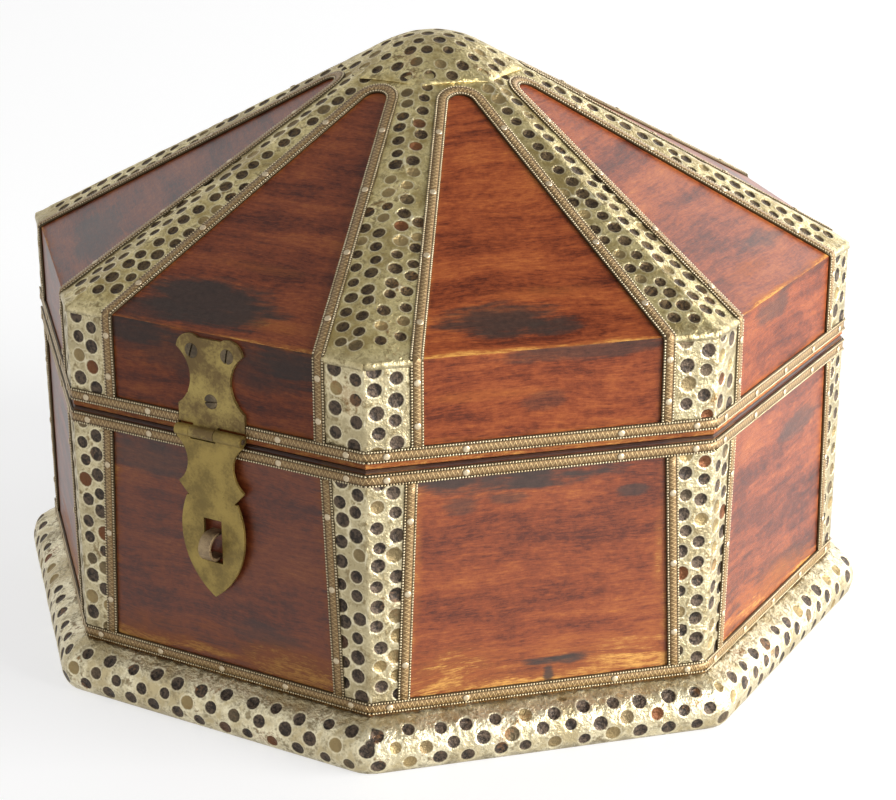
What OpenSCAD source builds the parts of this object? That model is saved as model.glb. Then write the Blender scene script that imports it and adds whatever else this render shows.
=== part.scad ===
// Eight-sided wooden box with a hinged pyramid lid. Hammered sheet straps cover
// its corners, beaded bands are pinned along the joints, and a hasp drops over
// a staple in front. Millimetres, +Z up, the front faces -Y, and the origin is
// at the centre of the underside.

/* [Box body] */
// Distance between two opposite walls, over the wood
across_flats = 305; // [250:5:380]
// Height of the base from the ground to its rim
base_h = 112.5; // [100:0.5:150]
// Height of the lid's upright sides, from its rim to the eave
side_h = 38.3; // [38:0.1:55]
// Slope of the eight roof boards, in degrees
roof_pitch = 29; // [22:1:36]
// Thickness of the wall and roof boards
board_t = 10; // [8:0.5:14]
// Thickness of the floor board
floor_t = 8; // [5:0.5:12]
// Height of the floor board's underside above the ground
floor_z = 4; // [1:0.5:8]
// Gap between the rims of the base and the closed lid
rim_gap = 0.2; // [0.1:0.05:0.6]
// Chamfer along the outer edge of both wooden rims
rim_chamfer = 0.5; // [0.2:0.1:1]

/* [Plinth moulding] */
// Height at which the moulding meets the wall
plinth_h = 18.8; // [17.5:0.1:24]
// How far the moulding's bulge stands out from the wall
plinth_out = 11; // [8.5:0.5:16]
// Half of the bulge's width, out from its centre
bulge_w = 6.5; // [4.5:0.5:8]
// Half of the bulge's height
bulge_h = 9.3; // [8:0.1:10]
// Height of the bulge's centre above the ground
bulge_z = 7; // [5:0.5:7.5]

/* [Corner straps and cap] */
// Thickness of the hammered sheet
sheet_t = 0.5; // [0.3:0.1:0.7]
// Width of a lid strap on each side of its corner
lid_strap_w = 18; // [12:0.5:24]
// Width of a base strap on each side of its corner, at the rim
base_strap_top = 16; // [10:0.5:22]
// Width of a base strap on each side of its corner, at the plinth
base_strap_foot = 12; // [8:0.5:20]
// Radius of the cap's lower edge, across its flats
cap_r = 34; // [26:0.5:35]
// Radius of the cap's rounded crown
cap_crown_r = 40; // [30:1:50]
// How far the lid straps run on under the cap
strap_lap = 6; // [4:0.5:8]

/* [Beaded bands] */
// Width of a band
band_w = 4.7; // [3.5:0.1:6]
// Thickness of a band between its beads
band_t = 0.7; // [0.4:0.1:0.9]
// Width of the raised bead along each edge
bead_w = 0.9; // [0.5:0.1:1.3]
// Height of the bead above the band
bead_h = 0.2; // [0.1:0.05:0.4]
// Distance of the base rim band below the rim
base_band_drop = 1.3; // [1:0.1:3]
// Distance of the lid rim band above the lid's rim
lid_band_rise = 2.5; // [1:0.1:4]
// Distance of the foot band above the plinth
foot_band_rise = 0.4; // [0.1:0.1:2]
// Radius of the band's turn at the tip of a roof panel
tip_r = 7.5; // [5:0.5:12]
// Gap between the band's turn and the cap, along the slope
tip_gap = 1.3; // [0.8:0.1:6]

/* [Pins] */
// Radius of a pin's round head
pin_head_r = 1.25; // [0.8:0.05:1.8]
// Height of the head over the band
pin_head_h = 0.5; // [0.3:0.1:0.8]
// Radius of the shank
pin_shank_r = 0.6; // [0.4:0.1:0.8]
// Length of the shank below the head
pin_len = 7; // [4:0.5:8]
// Pins along each side of a band that runs round the box
hoop_pins = 5; // [3:1:7]
// Pins along each upright band of the base
upright_pins = 3; // [2:1:5]
// Pins along each leg of a roof panel's band
roof_pins = 4; // [2:1:6]

/* [Hasp] */
// Half of the hasp's width at its shoulders
hasp_half = 14.2; // [13:0.1:16]
// Thickness of the hasp's sheet
leaf_t = 1.2; // [0.8:0.1:1.5]
// Height of the hasp's hinge axis above the lid's rim
hasp_rise = 1.6; // [1:0.1:2.5]
// Distance of the hinge axes out from the walls
axis_out = 2.6; // [2.5:0.1:3.5]
// Outer radius of the hinge knuckles
knuckle_r = 2.2; // [2:0.05:2.4]
// Radius of the hinge pins
pivot_r = 1; // [0.7:0.05:1.2]
// Clearance between a hinge pin and its knuckles
pivot_gap = 0.05; // [0.02:0.01:0.09]
// Gap between neighbouring knuckles
knuckle_gap = 0.15; // [0.1:0.05:0.4]
// Left end of the hasp plate's knuckle, from the middle
knuckle_left = -8; // [-9:0.5:-4]
// Right end of the hasp plate's knuckle, from the middle
knuckle_right = 2.5; // [1:0.5:8]
// Gap between the top of the hasp plate and the eave
plate_gap = 0.7; // [0.3:0.1:2]
// Radius of the two lobes at the top of the plate
lobe_r = 6; // [5:0.5:7]
// Half of the plate's width at its waist
waist_half = 8.6; // [7:0.1:10]
// Radius of the waist's curve
waist_r = 13; // [11:0.5:14]
// Height of the waist above the hinge axis
waist_rise = 20; // [19:0.5:21]
// Height of the plate's square shoulders above the hinge axis
shoulder_rise = 10; // [9:0.5:11]
// Length of the flap below the hinge axis
flap_len = 62.8; // [60:0.2:66]
// Width of the slot in the flap
slot_w = 7.8; // [6.5:0.1:9]
// Half of the flap's width at its belly
belly_half = 13.6; // [12:0.1:14]
// Distance of the belly's widest place below the hinge axis
belly_drop = 37.3; // [36:0.1:39]
// Distance of the flap's two points below the hinge axis
point_drop = 20.2; // [19:0.1:21.5]
// Half of the flap's width at the notches under the points
notch_half = 9.8; // [9:0.1:11]
// Distance of those notches below the hinge axis
notch_drop = 24.6; // [24:0.1:26]
// Radius of the curve of the flap's neck
neck_r = 10.5; // [9.5:0.1:11.5]
// Distance of the slot's upper end below the hinge axis
slot_top = 32.3; // [31:0.1:35]
// Distance of the slot's lower end below the hinge axis
slot_foot = 49; // [48.5:0.1:50]

/* [Staple] */
// Width of the staple's strip
staple_w = 5; // [3:0.1:6]
// Outer radius of the staple's loop
staple_r = 5.3; // [4.5:0.1:5.4]
// Thickness of the staple's strip
staple_t = 1.2; // [0.8:0.1:1.6]
// How far the staple stands out from the wall
staple_out = 9.2; // [8.5:0.1:10.5]
// Distance of the staple's centre below the hasp's hinge axis
staple_drop = 42.3; // [42.1:0.1:42.7]

/* [Rear hinges and screws] */
// Gap between a rear hinge and the upright band beside it
hinge_gap = 1.5; // [1:0.5:4]
// Width of a hinge
hinge_w = 25; // [22:0.5:30]
// Length of a hinge leaf above or below its axis
hinge_leaf = 16; // [13:0.5:18]
// Radius of a countersunk screw head
screw_head_r = 2.75; // [2.4:0.05:3]
// Radius of a screw's shank
screw_r = 1.4; // [1:0.05:1.6]
// Wood left behind a screw's tip or a staple's leg
screw_rest = 1.5; // [1:0.1:3]
// Clearance round a screw in its hole
screw_gap = 0.05; // [0.03:0.01:0.15]
// Height of a screw's raised head over the leaf
screw_raise = 0.35; // [0.2:0.05:0.6]
// Sheet left between a hinge's screw head and the hinge's end
screw_margin = 1.5; // [1:0.1:3]

/* [Hidden] */
SIDES = ["front", "front_right", "right", "rear_right", "rear", "rear_left", "left", "front_left"];
FRONT = 0;
REAR = 4;

turn = 45;                                  // angle from one side to the next
apothem = across_flats / 2;                 // from the middle to a wall
half = apothem * tan(turn / 2);             // half the length of a side
lid_z = base_h + rim_gap;                   // the lid's rim
eave = lid_z + side_h;                      // where the sides meet the roof
peak = eave + apothem * tan(roof_pitch);    // where the roof planes meet
slope = apothem / cos(roof_pitch);          // length of a roof panel, eave to peak
lap = sheet_t + band_t;                     // a band's face over the wood
foot_band_z = plinth_h + foot_band_rise;
rim_band_z = base_h - base_band_drop - band_w;
lid_band_z = lid_z + lid_band_rise;
hasp_z = lid_z + hasp_rise;                 // height of the hasp's hinge axis
rear_z = base_h + rim_gap / 2;              // height of the lid's hinge axis
leaf_edge = knuckle_r + 0.4;                // a leaf's edge beside a knuckle it must clear
web_h = knuckle_r + 2.4;                    // where a leaf begins to bend into its knuckle
relief = 0.4;                               // gap round a leaf let into a band
hinge_x = half - max(lid_strap_w, base_strap_top) - band_w / 2 - hinge_gap - hinge_w / 2;
overrun = 5;                                // extra length of a shape that is cut back
timber = "saddlebrown";
pale_metal = "silver";
band_metal = "darkkhaki";
brass = "goldenrod";
steel = "dimgray";

// ---------------------------------------------------------------- placing

// Children are drawn on a wall: X to the right, Y up, Z out of the wall.
module on_wall(side) {
    rotate([0, 0, side * turn]) translate([0, -apothem, 0]) rotate([90, 0, 0]) children();
}

// Children are drawn on a roof panel: Y up the slope from the eave, Z out of it.
module on_roof(side) {
    rotate([0, 0, side * turn]) translate([0, -apothem, eave]) rotate([roof_pitch, 0, 0]) children();
}

// A profile, drawn with X from the middle outwards and Y up, runs along a side.
module along_side(side, length) {
    rotate([0, 0, side * turn]) translate([length / 2, 0, 0]) rotate([90, 0, -90])
        linear_extrude(length) children();
}

// The slice of space that belongs to one side.
module slice(side) {
    reach = apothem + plinth_out + overrun;
    rotate([0, 0, side * turn]) linear_extrude(peak + overrun)
        polygon([[0, 0], [-reach * tan(turn / 2), -reach], [reach * tan(turn / 2), -reach]]);
}

// One of eight equal lengths that meet in mitres at the corners.
module mitred(side) {
    intersection() {
        along_side(side, 2 * half + 4 * overrun) children();
        slice(side);
    }
}

// A straight octagonal block whose flats are as far out as the walls plus out.
module octagon(out, z, h) {
    translate([0, 0, z]) rotate([0, 0, turn / 2])
        cylinder(r = (apothem + out) / cos(turn / 2), h = h, $fn = 8);
}

// ---------------------------------------------------------------- timber

module floor_board() {
    color(timber) octagon(-board_t, floor_z, floor_t);
}

module wall(side) {
    color(timber) mitred(side) polygon([
        [apothem, 0], [apothem, base_h - rim_chamfer], [apothem - rim_chamfer, base_h],
        [apothem - board_t, base_h], [apothem - board_t, 0]]);
}

// Height of the lid's inner eave, where the inner faces of side and roof meet.
inner_eave = eave + board_t * tan(roof_pitch) - board_t / cos(roof_pitch);

module lid_side(side) {
    color(timber) mitred(side) polygon([
        [apothem - rim_chamfer, lid_z], [apothem, lid_z + rim_chamfer], [apothem, eave],
        [apothem - board_t, inner_eave], [apothem - board_t, lid_z]]);
}

// The roof boards are cut flat under the cap.
flat_r = 0.8 * cap_crown_r * sin(roof_pitch);
flat_z = peak - flat_r * tan(roof_pitch);

module roof_board(side) {
    color(timber) mitred(side) polygon([
        [apothem - board_t, inner_eave], [apothem, eave], [flat_r, flat_z],
        [0, flat_z], [0, peak - board_t / cos(roof_pitch)]]);
}

// ---------------------------------------------------------------- plinth

// The strip above the bulge leaves it at the angle where it is tangent to it.
bulge_x = plinth_out - bulge_w;
strip_dx = bulge_x / bulge_w;
strip_dz = (plinth_h - bulge_z) / bulge_h;
strip_angle = asin(1 / norm([strip_dx, strip_dz])) + atan(strip_dx / strip_dz);
ground_angle = asin(-bulge_z / bulge_h);
bulge_steps = 10;

// The corners are rounded about an axis that stands this far inside the wall's face.
round_x = floor(half - 1);
round_in = (half - round_x) / tan(turn / 2);
core = 0.6 * round_in;
mitre_gap = 0.05;                           // opening of a mitre, in degrees on either side

// The moulding's face from the ground up, X out from that axis, set back by inset. It
// runs on into the wall, which is cut away from it.
function plinth_face(inset) = concat(
    [for (i = [0:bulge_steps])
        let (a = ground_angle + (strip_angle - ground_angle) * i / bulge_steps)
        [round_in + bulge_x + (bulge_w - inset) * cos(a),
         i == 0 ? 0 : bulge_z + (bulge_h - inset) * sin(a)]],
    [[round_in - core, plinth_h - 1.1 * inset + core * strip_rise]]);
strip_foot = [bulge_x + bulge_w * cos(strip_angle), bulge_z + bulge_h * sin(strip_angle)];
strip_rise = (plinth_h - strip_foot[1]) / strip_foot[0];

// One length of moulding with half of a rounded corner at each end.
module plinth_length(side) {
    difference() {
        rotate([0, 0, side * turn]) {
            translate([round_x, round_in - apothem, 0]) rotate([90, 0, -90])
                linear_extrude(2 * round_x) children();
            for (end = [0, 1]) mirror([end, 0, 0]) translate([round_x, round_in - apothem, 0])
                rotate([0, 0, -90]) rotate_extrude(angle = turn / 2 - mitre_gap) children();
        }
        octagon(0, -overrun, base_h);
    }
}

module plinth_moulding() {
    color(timber) for (side = [0:7])
        plinth_length(side) polygon(concat([[round_in - core, 0]], plinth_face(sheet_t)));
}

module plinth_sheet() {
    color(pale_metal) for (side = [0:7])
        plinth_length(side) polygon(concat(plinth_face(0), backwards(plinth_face(sheet_t))));
}

// ---------------------------------------------------------------- straps

// The straps end under the bands that run round the box, at the bands' middles.
base_strap_low = foot_band_z + band_w / 2;
base_strap_high = rim_band_z + band_w / 2;
lid_strap_low = lid_band_z + band_w / 2;

// A base strap narrows downwards: its edge, from the middle of the wall, at height z.
function base_strap_edge(z) = half - base_strap_foot
    - (base_strap_top - base_strap_foot) * (z - plinth_h) / (base_h - plinth_h);

module base_strap_2d(past_corner) {
    polygon([
        [base_strap_edge(base_strap_low), base_strap_low], [half + past_corner, base_strap_low],
        [half + past_corner, base_strap_high], [base_strap_edge(base_strap_high), base_strap_high]]);
}

// Half of a sheet that is folded round the corner on the right of the front, with the
// middle of that corner turned to the plane x = 0.
module corner_half() {
    intersection() {
        rotate([0, 0, -turn / 2]) children();
        translate([-2 * half, -2 * apothem, 0]) cube([2 * half, 2 * apothem, peak + overrun]);
    }
}

module base_strap_half() {
    corner_half() on_wall(0) linear_extrude(sheet_t) base_strap_2d(overrun);
}

// A sheet folded round the corner on the right of a side.
module base_strap(corner) {
    color(pale_metal) rotate([0, 0, (corner + 0.5) * turn]) union() {
        base_strap_half();
        mirror([1, 0, 0]) base_strap_half();
    }
}

// The room that the two straps of a side take in the bands over them.
fold = sheet_t * tan(turn / 2);             // a strap's outer corner lies this far past the wood's
module base_strap_room(side) {
    for (flip = [0, 1]) on_wall(side) mirror([flip, 0]) translate([0, 0, -overrun])
        linear_extrude(overrun + sheet_t) base_strap_2d(fold);
}

// Outline of a roof panel along the middle of its band, moved out by grow: two
// straight legs that are tangent to a round tip.
tip_y = slope - cap_r / cos(roof_pitch) - tip_gap - band_w / 2 - tip_r;
leg_foot = half - lid_strap_w;
leg_lean = atan(leg_foot / tip_y) - asin(tip_r / norm([leg_foot, tip_y]));
tip_steps = 10;
function leg_x(y, grow) = leg_foot + grow / cos(leg_lean) - y * tan(leg_lean);
function panel_outline(grow) = concat(
    [[leg_x(-overrun, grow), -overrun]],
    [for (i = [0:tip_steps])
        let (a = leg_lean + (180 - 2 * leg_lean) * i / tip_steps)
        [(tip_r + grow) * cos(a), tip_y + (tip_r + grow) * sin(a)]],
    [[-leg_x(-overrun, grow), -overrun]]);

// Everything from low to high above the roof panel, turned over the eave.
turn_over = tan((90 - roof_pitch) / 2);
module roof_layer(side, low, high, top_r) {
    rise = top_r * tan(roof_pitch);
    along_side(side, 2 * half + 4 * overrun) polygon([
        [apothem + low, eave], [apothem + high, eave], [apothem + high, eave + high * turn_over],
        [top_r, peak + high / cos(roof_pitch) - rise], [top_r, peak + low / cos(roof_pitch) - rise],
        [apothem + low, eave + low * turn_over]]);
}

// Half of a lid strap, on a side's upright board and roof panel.
strap_end_r = cap_r - strap_lap;
module lid_strap_half() {
    corner_half() {
        on_wall(0) translate([half - lid_strap_w, lid_strap_low])
            cube([lid_strap_w + overrun, eave - lid_strap_low, sheet_t]);
        intersection() {
            roof_layer(0, 0, sheet_t, strap_end_r);
            on_roof(0) translate([0, 0, -overrun]) linear_extrude(2 * overrun) difference() {
                translate([0, -overrun]) square([half + overrun, slope]);
                polygon(panel_outline(0));
            }
        }
    }
}

module lid_strap(corner) {
    color(pale_metal) rotate([0, 0, (corner + 0.5) * turn]) union() {
        lid_strap_half();
        mirror([1, 0, 0]) lid_strap_half();
    }
}

module lid_strap_room(side) {
    for (flip = [0, 1]) on_wall(side) mirror([flip, 0])
        translate([half - lid_strap_w, lid_strap_low, -overrun])
            cube([lid_strap_w + fold, eave - lid_strap_low, overrun + sheet_t]);
}

// ---------------------------------------------------------------- cap

cap_lift = 2 * sheet_t / cos(roof_pitch);   // the cap lies on the straps
crown_z = peak + cap_lift - cap_crown_r / cos(roof_pitch);
crown_steps = 8;                            // the last of them is a small flat
function crown(r) = [for (i = [0:crown_steps])
    let (a = roof_pitch * (1 - min(i, crown_steps - 1) / crown_steps))
    [i == crown_steps ? 0 : r * sin(a), crown_z + r * cos(a)]];
function backwards(list) = [for (i = [len(list) - 1:-1:0]) list[i]];

module lid_cap() {
    edge_z = peak - cap_r * tan(roof_pitch);
    section = concat([[cap_r, edge_z + cap_lift / 2], [cap_r, edge_z + cap_lift]],
                     crown(cap_crown_r), backwards(crown(cap_crown_r - sheet_t)));
    color(pale_metal) rotate([0, 0, turn / 2]) rotate_extrude($fn = 8)
        polygon([for (p = section) [p[0] / cos(turn / 2), p[1]]]);
}

// ---------------------------------------------------------------- bands

hinge_half = hinge_w / 2 + relief;           // half of the gap that a hinge leaves in a band
module band_gap(side, x, width, z) {
    on_wall(side) translate([x - width, z - overrun, -overrun])
        cube([2 * width, band_w + 2 * overrun, 4 * overrun]);
}

module rear_hinge_gaps(z) {
    for (x = [-1, 1]) band_gap(REAR, x * hinge_x, hinge_half, z);
}

// One side's length of a band that runs round the box, with a bead along each edge.
module hoop_length(side, z) {
    face = apothem + lap;
    top = z + band_w;
    mitred(side) polygon([
        [apothem, z], [face + bead_h, z], [face + bead_h, z + bead_w], [face, z + bead_w],
        [face, top - bead_w], [face + bead_h, top - bead_w], [face + bead_h, top], [apothem, top]]);
}

module base_hoop_bands() {
    color(band_metal) for (side = [0:7], z = [foot_band_z, rim_band_z]) difference() {
        hoop_length(side, z);
        base_strap_room(side);
        if (side == REAR && z == rim_band_z) rear_hinge_gaps(z);
    }
}

module lid_rim_band() {
    color(band_metal) for (side = [0:7]) difference() {
        hoop_length(side, lid_band_z);
        lid_strap_room(side);
        if (side == REAR) rear_hinge_gaps(lid_band_z);
        if (side == FRONT) band_gap(FRONT, 0, hasp_half + relief, lid_band_z);
    }
}

// An upright band with its two beads, along a line on the wall.
module strip_on_wall(edge) {
    linear_extrude(lap) edge_strip(-band_w / 2, band_w / 2, edge);
    linear_extrude(lap + bead_h) edge_strip(-band_w / 2, bead_w - band_w / 2, edge);
    linear_extrude(lap + bead_h) edge_strip(band_w / 2 - bead_w, band_w / 2, edge);
}

// A strip from left to right of a line given by its lower and upper point.
module edge_strip(left, right, edge) {
    polygon([[edge[0][0] + left, edge[0][1]], [edge[0][0] + right, edge[0][1]],
             [edge[1][0] + right, edge[1][1]], [edge[1][0] + left, edge[1][1]]]);
}

base_strip_foot = foot_band_z + band_w;
base_edge = [[base_strap_edge(base_strip_foot), base_strip_foot],
             [base_strap_edge(rim_band_z), rim_band_z]];
lid_edge = [[half - lid_strap_w, lid_band_z + band_w], [half - lid_strap_w, eave]];

module base_upright_bands() {
    color(band_metal) for (side = [0:7], flip = [0, 1]) difference() {
        on_wall(side) mirror([flip, 0]) strip_on_wall(base_edge);
        base_strap_room(side);
    }
}

// The band of one roof panel with the two upright bands below it.
module panel_band(side) {
    wide = band_w / 2;
    thin = wide - bead_w;
    module roof_strip(high, outer, inner) {
        intersection() {
            roof_layer(side, 0, high, strap_end_r);
            on_roof(side) translate([0, 0, -overrun]) linear_extrude(3 * overrun) difference() {
                polygon(panel_outline(outer));
                polygon(concat(panel_outline(inner), [[0, -2 * overrun]]));
            }
        }
    }
    difference() {
        union() {
            roof_strip(lap, wide, -wide);
            roof_strip(lap + bead_h, wide, thin);
            roof_strip(lap + bead_h, -thin, -wide);
            for (flip = [0, 1]) on_wall(side) mirror([flip, 0]) strip_on_wall(lid_edge);
        }
        for (flip = [0, 1]) rotate([0, 0, side * turn]) mirror([flip, 0, 0])
            rotate([0, 0, turn / 2]) lid_strap_half();
    }
}

module lid_panel_bands() {
    color(band_metal) for (side = [0:7]) panel_band(side);
}

// ---------------------------------------------------------------- pins

// A pin driven through a band, its head on the band's face.
module pin() {
    translate([0, 0, lap]) cylinder(r1 = pin_head_r, r2 = 0.6 * pin_head_r, h = pin_head_h, $fn = 24);
    translate([0, 0, lap - pin_len]) cylinder(r = pin_shank_r, h = pin_len, $fn = 16);
}

// Pins stand along a side at these places, from its middle.
hoop_step = 2 * half / (hoop_pins - 0.5);
hoop_places = [for (i = [0:hoop_pins - 1]) (i - (hoop_pins - 1) / 2) * hoop_step];
function meets_hinge(side, x) = side == REAR
    && abs(abs(x) - hinge_x) < hinge_half + pin_head_r;
function meets_hasp(side, x) = side == FRONT && abs(x) < hasp_half + relief + pin_head_r;

module hoop_pins_at(z, clear_hasp, clear_hinges) {
    for (side = [0:7], x = hoop_places)
        if (!(clear_hasp && meets_hasp(side, x)) && !(clear_hinges && meets_hinge(side, x)))
            on_wall(side) translate([x, z + band_w / 2, 0]) pin();
}

// Evenly spaced places along a line, clear of both its ends.
function spaced(a, b, count) = [for (i = [0:count - 1]) a + (b - a) * (i + 0.5) / count];

module base_pins() {
    color(band_metal) {
        hoop_pins_at(foot_band_z, false, false);
        hoop_pins_at(rim_band_z, true, true);
        for (side = [0:7], flip = [0, 1], place = spaced(base_edge[0], base_edge[1], upright_pins))
            on_wall(side) mirror([flip, 0]) translate([place[0], place[1], 0]) pin();
    }
}

module lid_pins() {
    color(band_metal) {
        hoop_pins_at(lid_band_z, true, true);
        for (side = [0:7], flip = [0, 1]) {
            for (place = spaced(lid_edge[0], lid_edge[1], 2))
                on_wall(side) mirror([flip, 0]) translate([place[0], place[1], 0]) pin();
            for (y = spaced(0, tip_y, roof_pins))
                on_roof(side) mirror([flip, 0]) translate([leg_x(y, 0), y, 0]) pin();
        }
    }
}

// ---------------------------------------------------------------- hinge parts

// A knuckle from x0 to x1 about the origin, with the web that joins it to a
// leaf on the wall: way is 1 where the leaf lies above the axis, -1 below.
module knuckle(x0, x1, way) {
    translate([x0, 0, 0]) rotate([0, 90, 0]) cylinder(r = knuckle_r, h = x1 - x0, $fn = 48);
    translate([x0, 0, 0]) rotate([90, 0, 90]) linear_extrude(x1 - x0) polygon([
        [way * web_h, -axis_out], [way * web_h, leaf_t - axis_out],
        [way * (knuckle_r + 1.2), leaf_t - axis_out],
        [way * 0.866 * knuckle_r, -knuckle_r / 2], [0, 0],
        [-way * 0.342 * knuckle_r, -0.94 * knuckle_r], [way * knuckle_r / 2, -axis_out]]);
}

module pivot_hole(x0, x1) {
    translate([x0 - 1, 0, 0]) rotate([0, 90, 0])
        cylinder(r = pivot_r + pivot_gap, h = x1 - x0 + 2, $fn = 48);
}

module pivot_pin(x0, x1) {
    translate([x0, 0, 0]) rotate([0, 90, 0]) cylinder(r = pivot_r, h = x1 - x0, $fn = 48);
}

// A countersunk hole through a leaf that lies on the wall.
module screw_hole() {
    cylinder(r1 = screw_r + screw_gap, r2 = screw_head_r + screw_gap, h = leaf_t, $fn = 32);
    translate([0, 0, leaf_t - 0.01]) cylinder(r = screw_head_r + screw_gap, h = 1, $fn = 32);
    translate([0, 0, -1]) cylinder(r = screw_r + screw_gap, h = 1.01, $fn = 32);
}

// A slotted screw with a raised countersunk head, driven into the board.
module screw(turned) {
    difference() {
        union() {
            cylinder(r1 = screw_r, r2 = screw_head_r, h = leaf_t, $fn = 32);
            translate([0, 0, leaf_t]) cylinder(r1 = screw_head_r, r2 = 0.75 * screw_head_r,
                h = screw_raise, $fn = 32);
            translate([0, 0, screw_rest - board_t]) cylinder(r = screw_r,
                h = board_t - screw_rest, $fn = 32);
        }
        rotate([0, 0, turned]) translate([-screw_head_r - 1, -0.35, leaf_t - 0.3])
            cube([2 * screw_head_r + 2, 0.7, screw_raise + 1]);
    }
}

// ---------------------------------------------------------------- rear hinges

module at_rear_hinges() {
    for (x = [-1, 1]) on_wall(REAR) translate([x * hinge_x, rear_z, axis_out]) children();
}

hinge_third = hinge_w / 6;                  // half the length of the lid's knuckle
hinge_screw_y = (hinge_leaf + web_h) / 2;
hinge_screw_x = hinge_w / 2 - screw_head_r - screw_margin;

module hinge_leaf_sheet(way) {
    translate([-hinge_w / 2, way > 0 ? leaf_edge : -hinge_leaf, -axis_out])
        cube([hinge_w, hinge_leaf - leaf_edge, leaf_t]);
}

module hinge_screw_holes(way) {
    for (x = [-1, 1]) translate([x * hinge_screw_x, way * hinge_screw_y, -axis_out]) screw_hole();
}

module rear_hinge_base_leaves() {
    color(brass) at_rear_hinges() difference() {
        union() {
            hinge_leaf_sheet(-1);
            knuckle(-hinge_w / 2, -hinge_third - knuckle_gap, -1);
            knuckle(hinge_third + knuckle_gap, hinge_w / 2, -1);
        }
        pivot_hole(-hinge_w / 2, hinge_w / 2);
        hinge_screw_holes(-1);
    }
}

module rear_hinge_lid_leaves() {
    color(brass) at_rear_hinges() difference() {
        union() {
            hinge_leaf_sheet(1);
            knuckle(-hinge_third, hinge_third, 1);
        }
        pivot_hole(-hinge_w / 2, hinge_w / 2);
        hinge_screw_holes(1);
    }
}

module rear_hinge_pins() {
    color(steel) at_rear_hinges() pivot_pin(-hinge_w / 2, hinge_w / 2);
}

module rear_hinge_screws(way) {
    color(steel) at_rear_hinges() for (x = [-1, 1])
        translate([x * hinge_screw_x, way * hinge_screw_y, -axis_out]) screw(35 * x * way);
}

// ---------------------------------------------------------------- hasp

module at_hasp() {
    on_wall(FRONT) translate([0, hasp_z, axis_out]) children();
}

plate_len = eave - hasp_z - plate_gap;
screw_side = hasp_half - lobe_r - 0.6;
hasp_screw_places = [[-screw_side, plate_len - lobe_r - 0.2], [screw_side, plate_len - lobe_r],
                     [0, shoulder_rise + 2]];
hasp_screw_turns = [72, 80, 8];

// The plate on the lid: two lobes, a waist and square shoulders.
module hasp_plate_2d() {
    lobe_x = hasp_half - lobe_r;
    lobe_y = plate_len - lobe_r;
    neck = waist_half + lobe_r / 5;
    neck_y = shoulder_rise + 4;
    difference() {
        union() {
            translate([-hasp_half, leaf_edge])
                square([2 * hasp_half, shoulder_rise - leaf_edge]);
            polygon([[-hasp_half, shoulder_rise], [hasp_half, shoulder_rise], [neck, neck_y],
                     [neck, lobe_y], [lobe_x, plate_len - lobe_r / 6],
                     [-lobe_x, plate_len - lobe_r / 6], [-neck, lobe_y], [-neck, neck_y]]);
            for (x = [-1, 1]) translate([x * lobe_x, lobe_y]) circle(r = lobe_r, $fn = 48);
        }
        for (x = [-1, 1]) translate([x * (waist_half + waist_r), waist_rise])
            circle(r = waist_r, $fn = 64);
    }
}

module hasp_plate() {
    color(brass) at_hasp() difference() {
        union() {
            translate([0, 0, -axis_out]) linear_extrude(leaf_t) hasp_plate_2d();
            knuckle(knuckle_left, knuckle_right, 1);
        }
        pivot_hole(-hasp_half, hasp_half);
        for (place = hasp_screw_places) translate([place[0], place[1], -axis_out]) screw_hole();
    }
}

// The flap: a waisted neck with two points, then a leaf-shaped belly.
module flap_2d() {
    belly_len = flap_len - belly_drop;      // from the widest place to the tip
    belly_r = (belly_len * belly_len + belly_half * belly_half) / (2 * belly_half);
    notch = [notch_half, -notch_drop];
    neck_y = -(point_drop + knuckle_r) / 2;
    difference() {
        union() {
            intersection() {
                translate([belly_half - belly_r, -belly_drop]) circle(r = belly_r, $fn = 96);
                translate([belly_r - belly_half, -belly_drop]) circle(r = belly_r, $fn = 96);
                translate([-hasp_half, -flap_len]) square([2 * hasp_half, flap_len + notch[1]]);
            }
            polygon([[-notch[0], notch[1] - 1], [-notch[0], notch[1]], [0.3 - hasp_half, -point_drop],
                     [-hasp_half, -knuckle_r], [hasp_half, -knuckle_r], [hasp_half - 0.3, -point_drop],
                     [notch[0], notch[1]], [notch[0], notch[1] - 1]]);
        }
        for (x = [-1, 1]) translate([x * (notch_half + neck_r), neck_y]) circle(r = neck_r, $fn = 64);
        translate([-slot_w / 2, -slot_foot]) square([slot_w, slot_foot - slot_top]);
        translate([knuckle_left - knuckle_gap, -leaf_edge])
            square([knuckle_right - knuckle_left + 2 * knuckle_gap, leaf_edge]);
    }
}

module flap_knuckle(x0, x1) {
    translate([x0, 0, 0]) rotate([0, 90, 0]) cylinder(r = knuckle_r, h = x1 - x0, $fn = 48);
    translate([x0, -knuckle_r - 0.1, -leaf_t / 2]) cube([x1 - x0, knuckle_r, leaf_t]);
}

module hasp_flap() {
    color(brass) at_hasp() difference() {
        union() {
            translate([0, 0, -leaf_t / 2]) linear_extrude(leaf_t) flap_2d();
            flap_knuckle(-hasp_half, knuckle_left - knuckle_gap);
            flap_knuckle(knuckle_right + knuckle_gap, hasp_half);
        }
        pivot_hole(-hasp_half, hasp_half);
    }
}

module hasp_pin() {
    color(steel) at_hasp() pivot_pin(-hasp_half - 0.3, hasp_half + 0.3);
}

module hasp_screws() {
    color(steel) at_hasp() for (i = [0:len(hasp_screw_places) - 1])
        translate([hasp_screw_places[i][0], hasp_screw_places[i][1], -axis_out])
            screw(hasp_screw_turns[i]);
}

// ---------------------------------------------------------------- staple

// The staple's side view, X up the wall and Y out of it, as a filled shape.
module staple_2d(r) {
    translate([0, staple_out - staple_r]) circle(r = r, $fn = 64);
    translate([-r, screw_rest - board_t]) square([2 * r, board_t - screw_rest + staple_out - staple_r]);
}

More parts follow.
